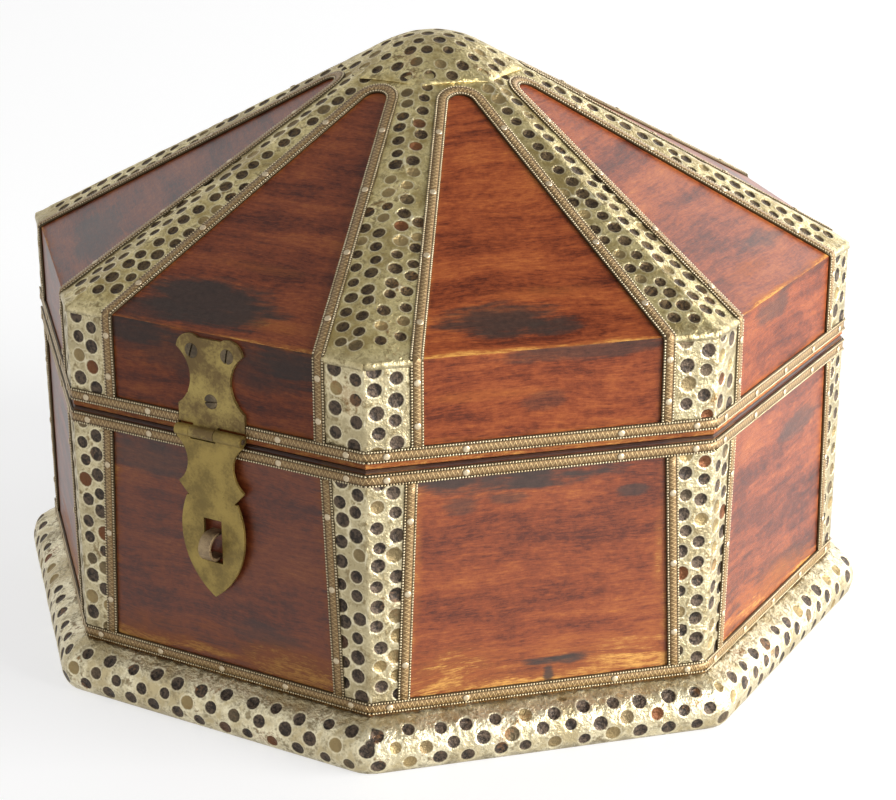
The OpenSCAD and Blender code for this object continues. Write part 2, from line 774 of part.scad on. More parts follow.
module staple() {
    color(brass) on_wall(FRONT) translate([-staple_w / 2, hasp_z - staple_drop, 0])
        rotate([90, 0, 90]) linear_extrude(staple_w) difference() {
            staple_2d(staple_r);
            translate([0, -0.01]) staple_2d(staple_r - staple_t);
        }
}

// ---------------------------------------------------------------- the box

floor_board();
for (side = [0:7]) wall(side);
plinth_moulding();
plinth_sheet();
for (n = [1:8]) base_strap(n - 1);
base_hoop_bands();
base_upright_bands();
base_pins();
staple();
rear_hinge_base_leaves();
rear_hinge_pins();
rear_hinge_screws(-1);  // rear_hinge_base_screws
for (side = [0:7]) lid_side(side);
for (side = [0:7]) roof_board(side);
for (n = [1:8]) lid_strap(n - 1);
lid_cap();
lid_rim_band();
lid_panel_bands();
lid_pins();
rear_hinge_lid_leaves();
rear_hinge_screws(1);  // rear_hinge_lid_screws
hasp_plate();
hasp_pin();
hasp_screws();
hasp_flap();
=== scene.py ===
# %% [markdown]
# # An eight-sided wooden box bound in hammered metal
# The box is made of stained boards. Hammered sheet covers every corner, the rounded foot and the
# crown, and beaded bands are nailed over the edges of that sheet. The measured solids of the box
# are loaded first and stay where they are. Each new piece is built in the same place, in metres,
# and rides on the body that carries it, so that the lid and the hasp still turn on their hinges.

# %% Load the measured solids
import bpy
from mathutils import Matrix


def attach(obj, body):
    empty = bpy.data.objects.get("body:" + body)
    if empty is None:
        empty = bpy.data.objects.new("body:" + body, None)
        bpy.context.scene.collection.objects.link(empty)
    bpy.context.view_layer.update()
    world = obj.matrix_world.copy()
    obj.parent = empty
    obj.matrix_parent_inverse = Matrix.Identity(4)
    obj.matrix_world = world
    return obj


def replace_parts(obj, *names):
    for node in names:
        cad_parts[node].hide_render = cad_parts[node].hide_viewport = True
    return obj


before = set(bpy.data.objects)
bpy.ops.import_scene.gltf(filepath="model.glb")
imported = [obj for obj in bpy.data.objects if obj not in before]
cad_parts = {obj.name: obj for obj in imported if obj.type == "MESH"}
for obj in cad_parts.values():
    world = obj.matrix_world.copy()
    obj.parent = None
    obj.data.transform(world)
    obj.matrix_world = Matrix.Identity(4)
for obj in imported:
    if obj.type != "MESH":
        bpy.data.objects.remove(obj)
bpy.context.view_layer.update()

# %% Modules
import math
import random
import bpy
import numpy as np
from mathutils import Vector, noise
from mathutils.geometry import delaunay_2d_cdt
print("Blender", bpy.app.version_string)

# %% [markdown]
# ## Sizes
# A maker sets the sizes out once and takes every other measure from them. They are in
# millimetres here, and become metres only where a mesh is made. The front is side 0 and faces -Y,
# and the other sides follow counterclockwise as seen from above.

# %% Sizes of the box
MM = 0.001
SIDES = ["front", "front_right", "right", "rear_right", "rear", "rear_left", "left", "front_left"]
TURN = math.radians(45)
APOTHEM = 152.5                      # from the middle to the outside of a wall
HALF = APOTHEM * math.tan(TURN / 2)  # half a wall's width
CORNER_R = APOTHEM / math.cos(TURN / 2)
RIM, LID_FOOT, EAVE = 112.5, 112.7, 151.0
PITCH = math.radians(29)
SLOPE = APOTHEM / math.cos(PITCH)    # a roof panel's length up the slope
PEAK = EAVE + APOTHEM * math.tan(PITCH)
FOOT_H = 18.8                        # height of the rounded foot
SHEET = 0.5                          # thickness of the hammered sheet
STRAP_FOOT, STRAP_SPREAD = 12, 4     # half a base strap at the foot, and what it gains upwards
STRAP_LID = 18                       # half a lid strap
BAND_W = 4.7
FOOT_BAND, RIM_BAND, LID_BAND = 19.2, 106.5, 115.2  # heights of the bands' lower edges
CAP_R, CAP_LAP, CAP_GAP = 34.0, 6, 1.3  # the cap, what it covers of a strap, its gap to the bands
LEG_FOOT, TIP_R = HALF - STRAP_LID, 7.5  # a roof band's start at the eave, and its turn's radius
TIP_Y = SLOPE - CAP_R / math.cos(PITCH) - CAP_GAP - BAND_W / 2 - TIP_R
LEAN = math.atan(LEG_FOOT / TIP_Y) - math.asin(TIP_R / math.hypot(LEG_FOOT, TIP_Y))
print("wall %.1f mm wide, peak at %.1f mm" % (2 * HALF, PEAK))

# %% Middle of the upright bands of the base
def upright_x(z):
    return HALF - STRAP_FOOT - STRAP_SPREAD * (z - FOOT_H) / (RIM - FOOT_H)

print("a base strap is %.1f mm wide at the rim" % (2 * (HALF - upright_x(RIM))))

# %% [markdown]
# ## Camera
# A long lens from a little above keeps the upright edges nearly parallel. The camera is aimed by
# turning its own -Z axis towards a point inside the box, which is easier to read than angles.

# %% Camera
camera = bpy.data.objects.new("camera", bpy.data.cameras.new("camera"))
bpy.context.scene.collection.objects.link(camera)
camera.data.lens, camera.data.shift_x = 88.57, -0.01657
camera.location = (0.4369, -0.7372, 0.3991)
aim = Vector((0.01033, 0.00593, 0.07687)) - camera.location
camera.rotation_mode = "QUATERNION"
camera.rotation_quaternion = aim.to_track_quat("-Z", "Y")
bpy.context.scene.camera = camera
print("camera %.0f mm from what it looks at" % (aim.length / MM))

# %% [markdown]
# ## Light
# The wood is shiny, so the light has to be soft: small lamps would leave hard spots on it. A wide
# low lamp on the right lights the sides that face it and grazes the front. A second one behind
# the box gives the polish of the far sides its glare, a weak one overhead lifts the roof, and a
# pale world fills the rest.

# %% Lamps
def lamp(name, place, width, height, watts):
    data = bpy.data.lights.new(name, "AREA")
    data.shape, data.size, data.size_y, data.energy = "RECTANGLE", width, height, watts
    shown = bpy.data.objects.new(name, data)
    shown.location = place
    shown.rotation_euler = (Vector((0, 0, 0.1)) - Vector(place)).to_track_quat("-Z", "Y").to_euler()
    bpy.context.scene.collection.objects.link(shown)
    return shown

lamps = [lamp("window_light", (2.1, 0.35, 0.6), 1.5, 1.2, 96),
         lamp("backdrop_light", (0.9, 2.3, 0.75), 3.2, 1.3, 34),
         lamp("top_light", (-0.6, -0.4, 2.2), 1.6, 1.6, 4)]
print("lamps:", [shown.name for shown in lamps])

# %% [markdown]
# ## A way to write materials
# A material in Blender is a tree of nodes. Written as code, a long tree soon hides what it does, so
# a small class wraps each socket and lets Python's own operators add the Math nodes: 1 - mask reads
# as what it is. Every other node comes from one method, which sets the node's own settings first
# and then the values or links of its sockets.

# %% Sockets that Python's operators work on
class Socket:
    def __init__(self, nodes, socket):
        self.nodes, self.socket = nodes, socket

    def _operator(operation, reflected=False):
        def operator(self, other=0.0):
            pair = (other, self) if reflected else (self, other)
            return self.nodes.node("Math", {"operation": operation}, dict(enumerate(pair)))
        return operator

    __add__ = __radd__ = _operator("ADD")
    __mul__ = __rmul__ = _operator("MULTIPLY")
    __sub__, __rsub__ = _operator("SUBTRACT"), _operator("SUBTRACT", True)
    __truediv__, __pow__ = _operator("DIVIDE"), _operator("POWER")
    __abs__ = _operator("ABSOLUTE")
    higher = _operator("MAXIMUM")

def rgb(code):
    """A colour as it is seen on a screen, such as "8a4b2c", as the linear colour of a node."""
    parts = [int(code[i:i + 2], 16) / 255 for i in (0, 2, 4)]
    return (*[p / 12.92 if p <= 0.04045 else ((p + 0.055) / 1.055) ** 2.4 for p in parts], 1)

print("a mid grey is", [round(c, 3) for c in rgb("808080")])

# %% The nodes of one tree
class Nodes:
    def __init__(self, tree):
        self.tree = tree

    def node(self, kind, settings=None, sockets=None, out=0):
        node = self.tree.nodes.new("ShaderNode" + kind)
        for key, value in (settings or {}).items():
            if key == "stops":
                self.stops(node.color_ramp.elements, value)
            else:
                setattr(node, key, value)
        for key, value in (sockets or {}).items():
            if isinstance(value, Socket):
                self.tree.links.new(value.socket, node.inputs[key])
            else:
                node.inputs[key].default_value = value
        return Socket(self, node.outputs[out])

    @staticmethod
    def stops(elements, stops):
        for i, (place, colour) in enumerate(stops):
            stop = elements[i] if i < 2 else elements.new(place)
            stop.position, stop.color = place, rgb(colour)

    # the few nodes that most finishes use
    def mix(self, share, one, other):
        return self.node("Mix", {"data_type": "RGBA"}, {0: share, 6: one, 7: other}, out=2)

    def smooth(self, value, start, end):
        return self.node("MapRange", {"interpolation_type": "SMOOTHSTEP"},
                         {"Value": value, "From Min": start, "From Max": end})

    def millimetres(self, turned=0.0):
        place = self.node("TexCoord", out="Object")
        return self.node("Mapping", {}, {"Vector": place, "Rotation": (0, 0, -turned),
                                         "Scale": (1000, 1000, 1000)})

    def stretched(self, vector, x, *y_and_z):
        factors = (x, *(y_and_z or (x, x)))
        return self.node("VectorMath", {"operation": "MULTIPLY"}, {0: vector, 1: factors})

    def parts(self, vector):
        split = self.node("SeparateXYZ", {}, {0: vector}).socket.node
        return [Socket(self, o) for o in split.outputs]

    def noise(self, vector, seed, detail=3.0, rough=0.5):
        return self.node("TexNoise", {"noise_dimensions": "4D"}, {
            "Vector": vector, "W": seed, "Scale": 1.0, "Detail": detail, "Roughness": rough})

    def attribute(self, name):
        return self.node("Attribute", {"attribute_name": name}, out="Fac")

    def bump(self, height, strength, depth):
        return self.node("Bump", {}, {"Height": height, "Strength": strength, "Distance": depth})

print("node tools ready")

# %% A finish
class Finish(Nodes):
    """A material, with its shader's constants, whose other inputs are written as expressions."""
    def __init__(self, name, **constants):
        self.material = bpy.data.materials.new(name)
        self.material.use_nodes = True
        super().__init__(self.material.node_tree)
        self.shader = self.tree.nodes["Principled BSDF"]
        for socket, value in constants.items():
            self.shader.inputs[socket.replace("_", " ")].default_value = value

    def feed(self, **values):
        for socket, value in values.items():
            self.tree.links.new(value.socket, self.shader.inputs[socket.replace("_", " ")])
        return self.material

print("finish tools ready")

# %% [markdown]
# ## Stained wood
# The boards are stained red-brown over a grain that runs level round the box. One flat colour
# would look painted, so noises drawn out along the board make the growth bands, the streaks and
# the fibres, and rounder ones make the stain cloudy, mottled and gritty. Handling has rubbed the
# stain off in streaks along the foot of each board, beside the bands and on the eave, and grease
# has darkened a few places. The position on the board, turned to the front, gives the distance to
# those lines, so that the wear follows them. It stays on the outer face. Shade is painted into the
# wood along the seam between lid and base, and one broad dark patch over the front of the lid is
# painted shade as well.

# %% Distance to the lines that bound what shows of a board, in millimetres
def wall_borders(u, up):
    taper = STRAP_SPREAD / (RIM - FOOT_H)
    middle = HALF - STRAP_FOOT + FOOT_H * taper - BAND_W / 2
    return {"side": middle - up * taper - abs(u),
            "foot": up - (FOOT_BAND + BAND_W), "top": RIM_BAND - up, "seam": RIM - up}

def lid_side_borders(u, up):
    return {"side": (LEG_FOOT - BAND_W / 2) - abs(u), "foot": up - (LID_BAND + BAND_W),
            "top": EAVE - up, "seam": up - LID_FOOT + 0.9}

def roof_borders(u, up):
    side = (LEG_FOOT - BAND_W / 2 - up * math.tan(LEAN) - abs(u)) * math.cos(LEAN)
    # the seam between lid and base is nowhere near the roof
    return {"side": side, "foot": up, "top": TIP_Y + TIP_R - up, "seam": up + 9}

print("a roof band leans %.1f degrees" % math.degrees(LEAN))

# %% The finish of one board
def stained_wood(name, side, seed, borders, wear, worn, smudges):
    """wear gives how far the rubbed edge reaches from each border and how strongly. worn and
    smudges are pale and dark places: across, up, half width, half height and strength."""
    f = Finish(name, IOR=1.5 if borders is wall_borders else 1.34)
    place = f.millimetres(turned=side * TURN)
    u, y, up = f.parts(place)
    depth = y + APOTHEM
    if borders is roof_borders:
        depth = depth * math.sin(PITCH) - (up - EAVE) * math.cos(PITCH)
        up = (up - EAVE) / math.sin(PITCH)
    outer = f.smooth(depth, 3, 2)          # the wear ends 2 to 3 mm inside the outer face
    waver = f.noise(f.node("CombineXYZ", {}, {"X": u * 0.012, "Y": up * 0.02}), seed, 2)
    grain = f.node("CombineXYZ", {}, {"X": u, "Y": y * 0.2, "Z": up + waver * 16})
    band = f.noise(f.stretched(grain, 0.010, 0.1, 0.10), seed, 4, 0.55)
    streak = f.noise(f.stretched(grain, 0.05, 0.5, 0.5), seed + 1, 5, 0.7)
    fibre = f.noise(f.stretched(grain, 0.30, 1.0, 2.4), seed + 2, 4, 0.7)
    cloud = f.noise(f.stretched(grain, 0.024, 0.05, 0.05), seed + 3, 4, 0.6)
    grit = f.noise(f.stretched(grain, 0.45, 0.6, 0.6), seed + 4, 4, 0.75)
    mottle = f.noise(f.stretched(grain, 0.09, 0.13, 0.13), seed + 5, 4, 0.65)
    tone = (band * 0.50 + streak * 0.32 + cloud * 0.38 + fibre * 0.44 + grit * 0.30
            + mottle * 0.24 - 0.62)
    colour = f.node("ValToRGB", {"stops": [(0.26, "30130a"), (0.78, "c67a34"), (0.38, "5a2613"),
                                           (0.50, "843f20"), (0.62, "9e562b")]},
                    {"Fac": tone}, out="Color")
    lines = borders(u, up)
    def spot(across, height, wide, high, strength, start, end):
        far = ((u - across) / wide) ** 2 + ((up - height) / high) ** 2
        uneven = (cloud - 0.5) * 2.6 + (streak - 0.5) * 2.4 + (mottle - 0.5) * 1.2
        return f.smooth(far + uneven, start, end) * outer * strength
    uneven = (band - 0.5) * 2.8 + (cloud - 0.5) * 2.4 + (streak - 0.5) * 1.6 + 0.45
    rubbed, *others = [
        f.smooth(lines[line] - uneven * reach, reach, -reach) * outer * strength
        for line, (reach, strength) in wear.items()] + [spot(*place, 1.3, -0.3) for place in worn]
    for place in others:
        rubbed = rubbed.higher(place)
    rubbed = rubbed * f.smooth(fibre * 0.35 + streak * 0.65 + rubbed * 0.2, 0.42, 0.66)
    yellow = f.smooth(rubbed * 0.8 + (fibre - 0.5) * 1.1 + (grit - 0.5) * 0.5, 0.45, 0.92)
    pale = f.mix(yellow, rgb("9e5826"), rgb("dca552"))
    colour = f.mix(rubbed, colour, pale)
    # painted shade: the wood darkens towards the seam between lid and base, where the gap is shaded
    colour = f.mix(f.smooth(lines["seam"], 1.5, 0.9) * 0.85, colour, rgb("160d09"))
    for place in smudges:
        colour = f.mix(spot(*place, 1.2, 0.2), colour, f.mix(grit, rgb("1c1310"), rgb("4c3c34")))
    nick = f.smooth(grit, 0.735, 0.77)
    colour = f.mix(nick * 0.6, colour, rgb("c99a6a"))
    return f.feed(Base_Color=colour, Roughness=0.26 + fibre * 0.18 + rubbed * 0.25,
                  Normal=f.bump(fibre * 0.6 + streak * 0.6 - nick, 0.5, 0.0003))

# %% Finish every board of the walls, the lid's sides and the roof
KINDS = {                              # borders, wear beside them, usual height of a smudge
    "wall": (wall_borders, {"side": (2.8, 0.75), "foot": (15, 1.0), "top": (0.8, 0.3)}, 90),
    "lid_side": (lid_side_borders, {"side": (1.2, 0.6), "foot": (2.5, 0.7), "top": (0.9, 0.9)},
                 146),
    "roof_board": (roof_borders, {"side": (1.4, 0.7), "foot": (2.6, 0.95), "top": (2, 0.3)}, 20)}
WORN = {
    ("wall", 0): [(34, 30, 30, 12, 0.85), (-40, 28, 16, 6, 0.6)],
    ("wall", 1): [(-34, 28, 36, 18, 0.95), (44, 68, 3, 20, 0.8), (-46, 74, 3, 34, 0.7)],
    ("wall", 2): [(0, 30, 30, 8, 0.6)],
    ("lid_side", 1): [(-20, 136, 26, 2.5, 0.5)],
    ("roof_board", 0): [(22, 9, 22, 4, 0.8), (-6, 34, 30, 3, 0.4)],
    ("roof_board", 1): [(6, 26, 24, 4, 0.5)],
    ("roof_board", 2): [(-8, 14, 24, 5, 0.5)]}
SMUDGES = {
    ("wall", 0): [(-30, 100, 26, 9, 0.6), (20, 40, 20, 5, 0.4)],
    ("wall", 1): [(-14, 105, 46, 7, 0.95), (33, 95, 6, 2.4, 0.8), (-30, 96, 7, 4, 0.6),
                  (-12, 97, 8, 2.6, 0.6), (6, 32, 16, 2.6, 1.0), (3, 27, 2.4, 5, 0.9)],
    # the first, broad patch darkens the whole front of the lid as painted shade; the rest are dark
    # smudges
    ("lid_side", 0): [(0, 142, 60, 10, 0.5), (-30, 147, 26, 5, 0.8), (36, 146, 20, 7, 0.85)],
    ("lid_side", 1): [(14, 149, 34, 3.5, 0.7), (0, 132, 8, 4, 0.4)],
    ("roof_board", 0): [(-8, 14, 34, 11, 0.95), (-34, 6, 18, 6, 0.6)],
    ("roof_board", 1): [(-14, 15, 26, 9, 0.9), (6, 10, 12, 4, 0.7)],
    ("roof_board", 7): [(10, 20, 30, 12, 0.6)]}
for kind, (borders, wear, usual) in KINDS.items():
    for side, word in enumerate(SIDES):
        somewhere = (22 * math.sin(5.1 * side + len(kind)), usual, 20, 6, 0.6)
        finish = stained_wood("%s_wood_%d" % (kind, side), side, 3.7 * side + len(kind), borders,
                              wear, WORN.get((kind, side), []),
                              SMUDGES.get((kind, side), [somewhere]))
        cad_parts["%s_%s" % (kind, word)].material_slots[0].material = finish
print(len(KINDS) * len(SIDES), "boards finished")

# %% [markdown]
# ## Sheet folded over a corner
# The hammered straps lie flat on two boards and turn round the corner between them. Every piece of
# sheet is drawn flat, as a metalworker would cut it, and a fold then carries each point to its
# place: s runs across the fold, t along it and the height stands out from the wood.

# %% A fold
X, UP = np.array([1.0, 0, 0]), np.array([0, 0, 1.0])

def unit(x, y, z):
    return np.array([x, y, z]) / math.hypot(x, y, z)

class Fold:
    def __init__(self, start, along, across, outward, angle, radius):
        self.start, self.along, self.across = np.array(start), along, across
        self.outward, self.angle, self.radius = outward, angle, radius

    def at(self, s, t, height):
        s, t, height = (np.asarray(v, float)[:, None] for v in np.broadcast_arrays(s, t, height))
        bend = np.clip(s / self.radius, -self.angle, self.angle)
        normal = self.outward * np.cos(bend) + self.across * np.sin(bend)
        tangent = self.across * np.cos(bend) - self.outward * np.sin(bend)
        centre = self.start + self.along * t - self.outward * self.radius / math.cos(self.angle)
        return centre + normal * (self.radius + height) + tangent * (s - bend * self.radius)

over_eave = unit(0, -1 - math.sin(PITCH), math.cos(PITCH))
CORNER = Fold((0, -CORNER_R, 0), UP, X, unit(0, -1, 0), TURN / 2, 1.2)
HIP = Fold((0, -CORNER_R, EAVE), unit(0, CORNER_R, PEAK - EAVE), X,
           unit(0, -math.cos(TURN / 2) * math.sin(PITCH), math.cos(PITCH)),
           math.asin(math.sin(TURN / 2) * math.sin(PITCH)), 3.0)
OVER_EAVE = Fold((0, -APOTHEM, EAVE), X, np.cross(over_eave, X), over_eave,
                 (math.pi / 2 - PITCH) / 2, 0.6)
print("hips fold by %.1f degrees, eaves by %.1f" % (
    math.degrees(2 * HIP.angle), math.degrees(2 * OVER_EAVE.angle)))

# %% Flat places carried to the upright faces and to a roof panel
def turned(points, eighths):
    """Points at the front, turned to another side or corner of the box."""
    c, s = np.cos(eighths * TURN), np.sin(eighths * TURN)
    x, y, z = points.T
    return np.stack([x * c - y * s, x * s + y * c, z], 1)

def around(flat, height):
    """How far round the box from the middle of the front, and how high above the ground."""
    corner = np.round(flat[:, 0] / (2 * HALF) - 0.5) + 0.5
    return turned(CORNER.at(flat[:, 0] - corner * 2 * HALF, flat[:, 1], height), corner)

def panel(side):
    """How far from the middle of a side, and how far up the roof from the eave."""
    return lambda flat, height: turned(OVER_EAVE.at(flat[:, 1], flat[:, 0], height), side)

where = around(np.array([[2 * HALF, 50.0]]), 0)[0]
print("middle of the next side: x %.1f y %.1f z %.1f mm" % tuple(where))

# %% Flat places carried to two roof panels and over their eaves
HIP_LENGTH = math.hypot(HALF, SLOPE)
LAP_END, LAP_RUN = 0.9, 1.2            # up the slope, where the sheet comes down to the wood
BLEND_FROM, BLEND_RUN = 0.3, 2.2       # where the eave's fold passes into the hip's

def along_hip(corner):
    def carry(flat, height):
        s, t = flat.T
        from_corner = (np.abs(s) * SLOPE + t * HALF) / HIP_LENGTH
        up = (t * SLOPE - np.abs(s) * HALF) / HIP_LENGTH
        way = np.where(s < 0, -1, 1)
        # over the eave it lies on the strap below
        height = height + SHEET * np.clip((LAP_END - up) / LAP_RUN, 0, 1)
        low = turned(OVER_EAVE.at(up, way * (from_corner - HALF), height),
                     corner + 0.5 + way * 0.5)
        high = turned(HIP.at(s, t, height), corner + 0.5)
        share = np.clip((up - BLEND_FROM) / BLEND_RUN, 0, 1)[:, None]
        return low * (1 - share) + high * share
    return carry

print("a hip is %.1f mm long" % HIP_LENGTH)

# %% [markdown]
# ## Hammered sheet
# Each blow of the punch leaves a round pit with a flat floor and a raised lip. The sheet could be
# smooth with a bump map, but the pits catch light along their rims and notch the outline of the
# foot, so they are real. Rings of points are laid round every pit, the triangles between them
# come from a constrained triangulation, and the height of each point follows from its distance to
# the nearest pit.

# %% Points inside an outline, and their distance to it
def inside(points, outline):
    x, y = points.T
    within = np.zeros(len(points), bool)
    for (ax, ay), (bx, by) in zip(outline, np.roll(outline, -1, 0)):
        if ay != by:
            within ^= ((ay > y) != (by > y)) & (x < ax + (bx - ax) * (y - ay) / (by - ay))
    return within

def distance(points, line, closed=True):
    """From each point to the nearest part of a line through other points."""
    x, y = points.T
    nearest = np.full(len(points), 1e9)
    ends = np.roll(line, -1, 0) if closed else line[1:]
    for (ax, ay), (bx, by) in zip(line, ends):
        dx, dy = bx - ax, by - ay
        share = np.clip(((x - ax) * dx + (y - ay) * dy) / max(dx * dx + dy * dy, 1e-9), 0, 1)
        nearest = np.minimum(nearest, np.hypot(ax + share * dx - x, ay + share * dy - y))
    return nearest

def finely(points, step, closed=False):
    """The line through the points, divided so that no part is longer than step."""
    points = [np.asarray(p, float) for p in points]
    out = []
    for a, b in zip(points, points[1:] + points[:1] if closed else points[1:]):
        n = max(1, math.ceil(np.linalg.norm(b - a) / step - 1e-6))
        out += [a + (b - a) * i / n for i in range(n)]
    return np.array(out if closed else out + [points[-1]])

print("a 10 mm line in 3 mm steps:", len(finely([(0, 0), (10, 0)], 3)), "points")

# %% Where the punch fell
class Pits:
    """The pits of one sheet: a row of places per column, each a little off its place."""
    def __init__(self, outline, columns, step, radius, seed, clear=0.6):
        draw = random.Random(seed)
        low, high = outline[:, 1].min(), outline[:, 1].max()
        places = []
        for i, across in enumerate(columns):
            for j in range(int((high - low) / step) + 2):
                places.append((across + draw.uniform(-0.8, 0.8),
                               low + (j + 0.5 * (i % 2)) * step + draw.uniform(-0.9, 0.9),
                               radius * draw.uniform(0.86, 1.1), draw.random()))
        places = np.array(places)
        keep = inside(places[:, :2], outline) & (distance(places[:, :2], outline) > clear)
        places = places[keep]
        self.places, self.sizes, self.shades = places[:, :2], places[:, 2], places[:, 3]

    def drop(self, out):
        keep = ~out(self.places)
        self.places, self.sizes, self.shades = (
            column[keep] for column in (self.places, self.sizes, self.shades))

    def nearest(self, points):
        """How far each point is from its nearest pit, in that pit's radii, and its shade."""
        far, shade = np.full(len(points), 9.0), np.zeros(len(points))
        for place, size, dark in zip(self.places, self.sizes, self.shades):
            this = np.hypot(*(points - place).T) / size
            shade = np.where(this < far, dark, shade)
            far = np.minimum(far, this)
        return far, shade

square = np.array([(0.0, 0.0), (20.0, 0.0), (20.0, 20.0), (0.0, 20.0)])
trial = Pits(square, [5, 12], 9, 2.6, 1)
print("a 20 mm square of sheet:", len(trial.places), "pits")

# %% The section of a pit
FLOOR, BRINK, LIP = 0.78, 0.98, 1.24   # where its floor, wall and lip end, in its own radii
PIT_DEPTH, PIT_DISH, LIP_H = 0.42, 0.14, 0.14

def pit_height(far):
    wall = np.clip((far - FLOOR) / (BRINK - FLOOR), 0, 1)
    wall = wall * wall * (3 - 2 * wall)
    inner = (PIT_DISH * (far / FLOOR) ** 2 - PIT_DEPTH) * (1 - wall) + LIP_H * wall
    return np.where(far < BRINK, inner, LIP_H * np.exp(-((far - BRINK) / 0.3) ** 2))

print("a pit's floor is %.2f mm below its lip" % (LIP_H - pit_height(np.zeros(1))[0]))

# %% Triangles of a flat piece
def triangles(outline, creases, pits=None, step=3.0, seed=0):
    draw = random.Random(seed)
    points = [tuple(p) for p in outline]
    lines = [(i, (i + 1) % len(outline)) for i in range(len(outline))]
    for crease in creases:
        lines += [(len(points) + i, len(points) + i + 1) for i in range(len(crease) - 1)]
        points += [tuple(p) for p in crease]
    if pits:
        a = np.arange(12) * 2 * math.pi / 12
        ring = np.concatenate([[(0, 0)]] + [
            r * np.stack([np.cos(a + r * 2.6), np.sin(a + r * 2.6)], 1)
            for r in (FLOOR, BRINK, LIP)])
        rings = pits.places[:, None] + pits.sizes[:, None, None] * ring
        rings = rings.reshape(-1, 2)
        keep = inside(rings, outline) & (distance(rings, outline) > 0.15)
        points += [tuple(p) for p in rings[keep]]
        low, high = outline.min(0), outline.max(0)
        fill = np.array([(x + draw.uniform(-0.3, 0.3) * step, y + draw.uniform(-0.3, 0.3) * step)
                         for x in np.arange(low[0], high[0], step)
                         for y in np.arange(low[1], high[1], step)])
        fill = fill[inside(fill, outline) & (distance(fill, outline) > 0.6)]
        points += [tuple(p) for p in fill[pits.nearest(fill)[0] > 1.45]]
    flat, _, faces = delaunay_2d_cdt([Vector(p) for p in points], lines, [], 1, 1e-5)[:3]
    flat, faces = np.array([tuple(p) for p in flat]), np.array(faces)
    a, b, c = (flat[faces[:, i]] for i in range(3))
    area = (b - a)[:, 0] * (c - a)[:, 1] - (b - a)[:, 1] * (c - a)[:, 0]
    faces[area < 0] = faces[area < 0][:, ::-1]
    return flat, faces[np.abs(area) > 1e-7]

print("the square of sheet:", len(triangles(square, [], trial)[1]), "triangles")

# %% [markdown]
# ## Pieces
# A heap gathers the points and faces of one piece, with the values that its finish reads at each
# point, such as how deep in a pit it lies. It then becomes one object, which rides on a body of
# the box and stands for the plain solid of that piece.

# %% A heap of points and faces that becomes a piece
class Heap:
    def __init__(self):
        self.points, self.faces, self.values, self.count = [], [], {}, 0

    def add(self, points, faces, **values):
        """Adds points and faces, and returns the number of the first point."""
        first = self.count
        for name in dict.fromkeys([*self.values, *values]):
            column = self.values.setdefault(name, [np.zeros(first)])
            column.append(np.broadcast_to(values.get(name, 0.0), len(points)))
        self.points.append(points)
        self.faces += [[int(i) + first for i in face] for face in faces]
        self.count += len(points)
        return first

    def piece(self, name, body, slot, finish, solids):
        mesh = bpy.data.meshes.new(name)
        mesh.from_pydata((np.concatenate(self.points) * MM).tolist(), [], self.faces)
        for value, column in self.values.items():
            data = mesh.attributes.new(value, "FLOAT", "POINT").data
            data.foreach_set("value", np.concatenate(column).astype(np.float32))
        mesh.polygons.foreach_set("use_smooth", [True] * len(mesh.polygons))
        mesh.materials.append(finish)
        mesh.update()
        made = bpy.data.objects.new(name, mesh)
        bpy.context.scene.collection.objects.link(made)
        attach(made, body)
        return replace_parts(made, *solids)

print("heaps ready")

# %% A piece of hammered sheet, with its back and its cut edges
THINNEST = 0.04                        # what the punch leaves of the sheet's thickness

def add_sheet(heap, outline, creases, pits, carry, seed, step=3.0, swell=0.2, dents=()):
    """dents are places where the sheet was struck through: across, along, radius and depth."""
    front, faces = triangles(outline, creases, pits, step, seed)
    far, shade = pits.nearest(front)
    edge = np.clip(distance(front, outline) / 1.5, 0, 1)
    wave = np.array([noise.noise(Vector((x * 0.12, y * 0.12, seed * 1.7))) for x, y in front])
    height = (pit_height(far) + wave * swell) * edge
    pit = np.clip((BRINK - far) / (BRINK - FLOOR), 0, 1) * (edge > 0)
    # rim marks the lips of the pits, where the finish paints a highlight
    rim = np.exp(-((far - 1.06) / 0.14) ** 2) * edge
    # the finish darkens each dent like a pit's floor, painted shade, and lightens a ring round it,
    # a painted highlight that is partly the bright torn edge
    for x, y, radius, depth in dents:
        off = np.hypot(*((front - (x, y)) / radius).T)
        height -= depth * np.exp(-off ** 2)
        pit = np.maximum(pit, np.clip(1.6 - 1.5 * off, 0, 1))
        rim = np.maximum(rim, np.exp(-((off - 1.35) / 0.2) ** 2))
    top = heap.add(carry(front, SHEET + np.maximum(height, THINNEST - SHEET)), faces,
                   pit=pit, shade=shade, rim=rim)
    back, under = triangles(outline, creases)
    below = heap.add(carry(back, 0.0), under[:, ::-1])
    number = {tuple(np.round(p, 3)): i + below for i, p in enumerate(back)}
    sides = {(a, b) for face in faces.tolist() for a, b in zip(face, face[1:] + face[:1])}
    skirt = [(b + top, a + top, number[tuple(np.round(front[a], 3))],
              number[tuple(np.round(front[b], 3))]) for a, b in sides if (b, a) not in sides]
    heap.faces += [list(face) for face in skirt]

print("sheet tools ready")
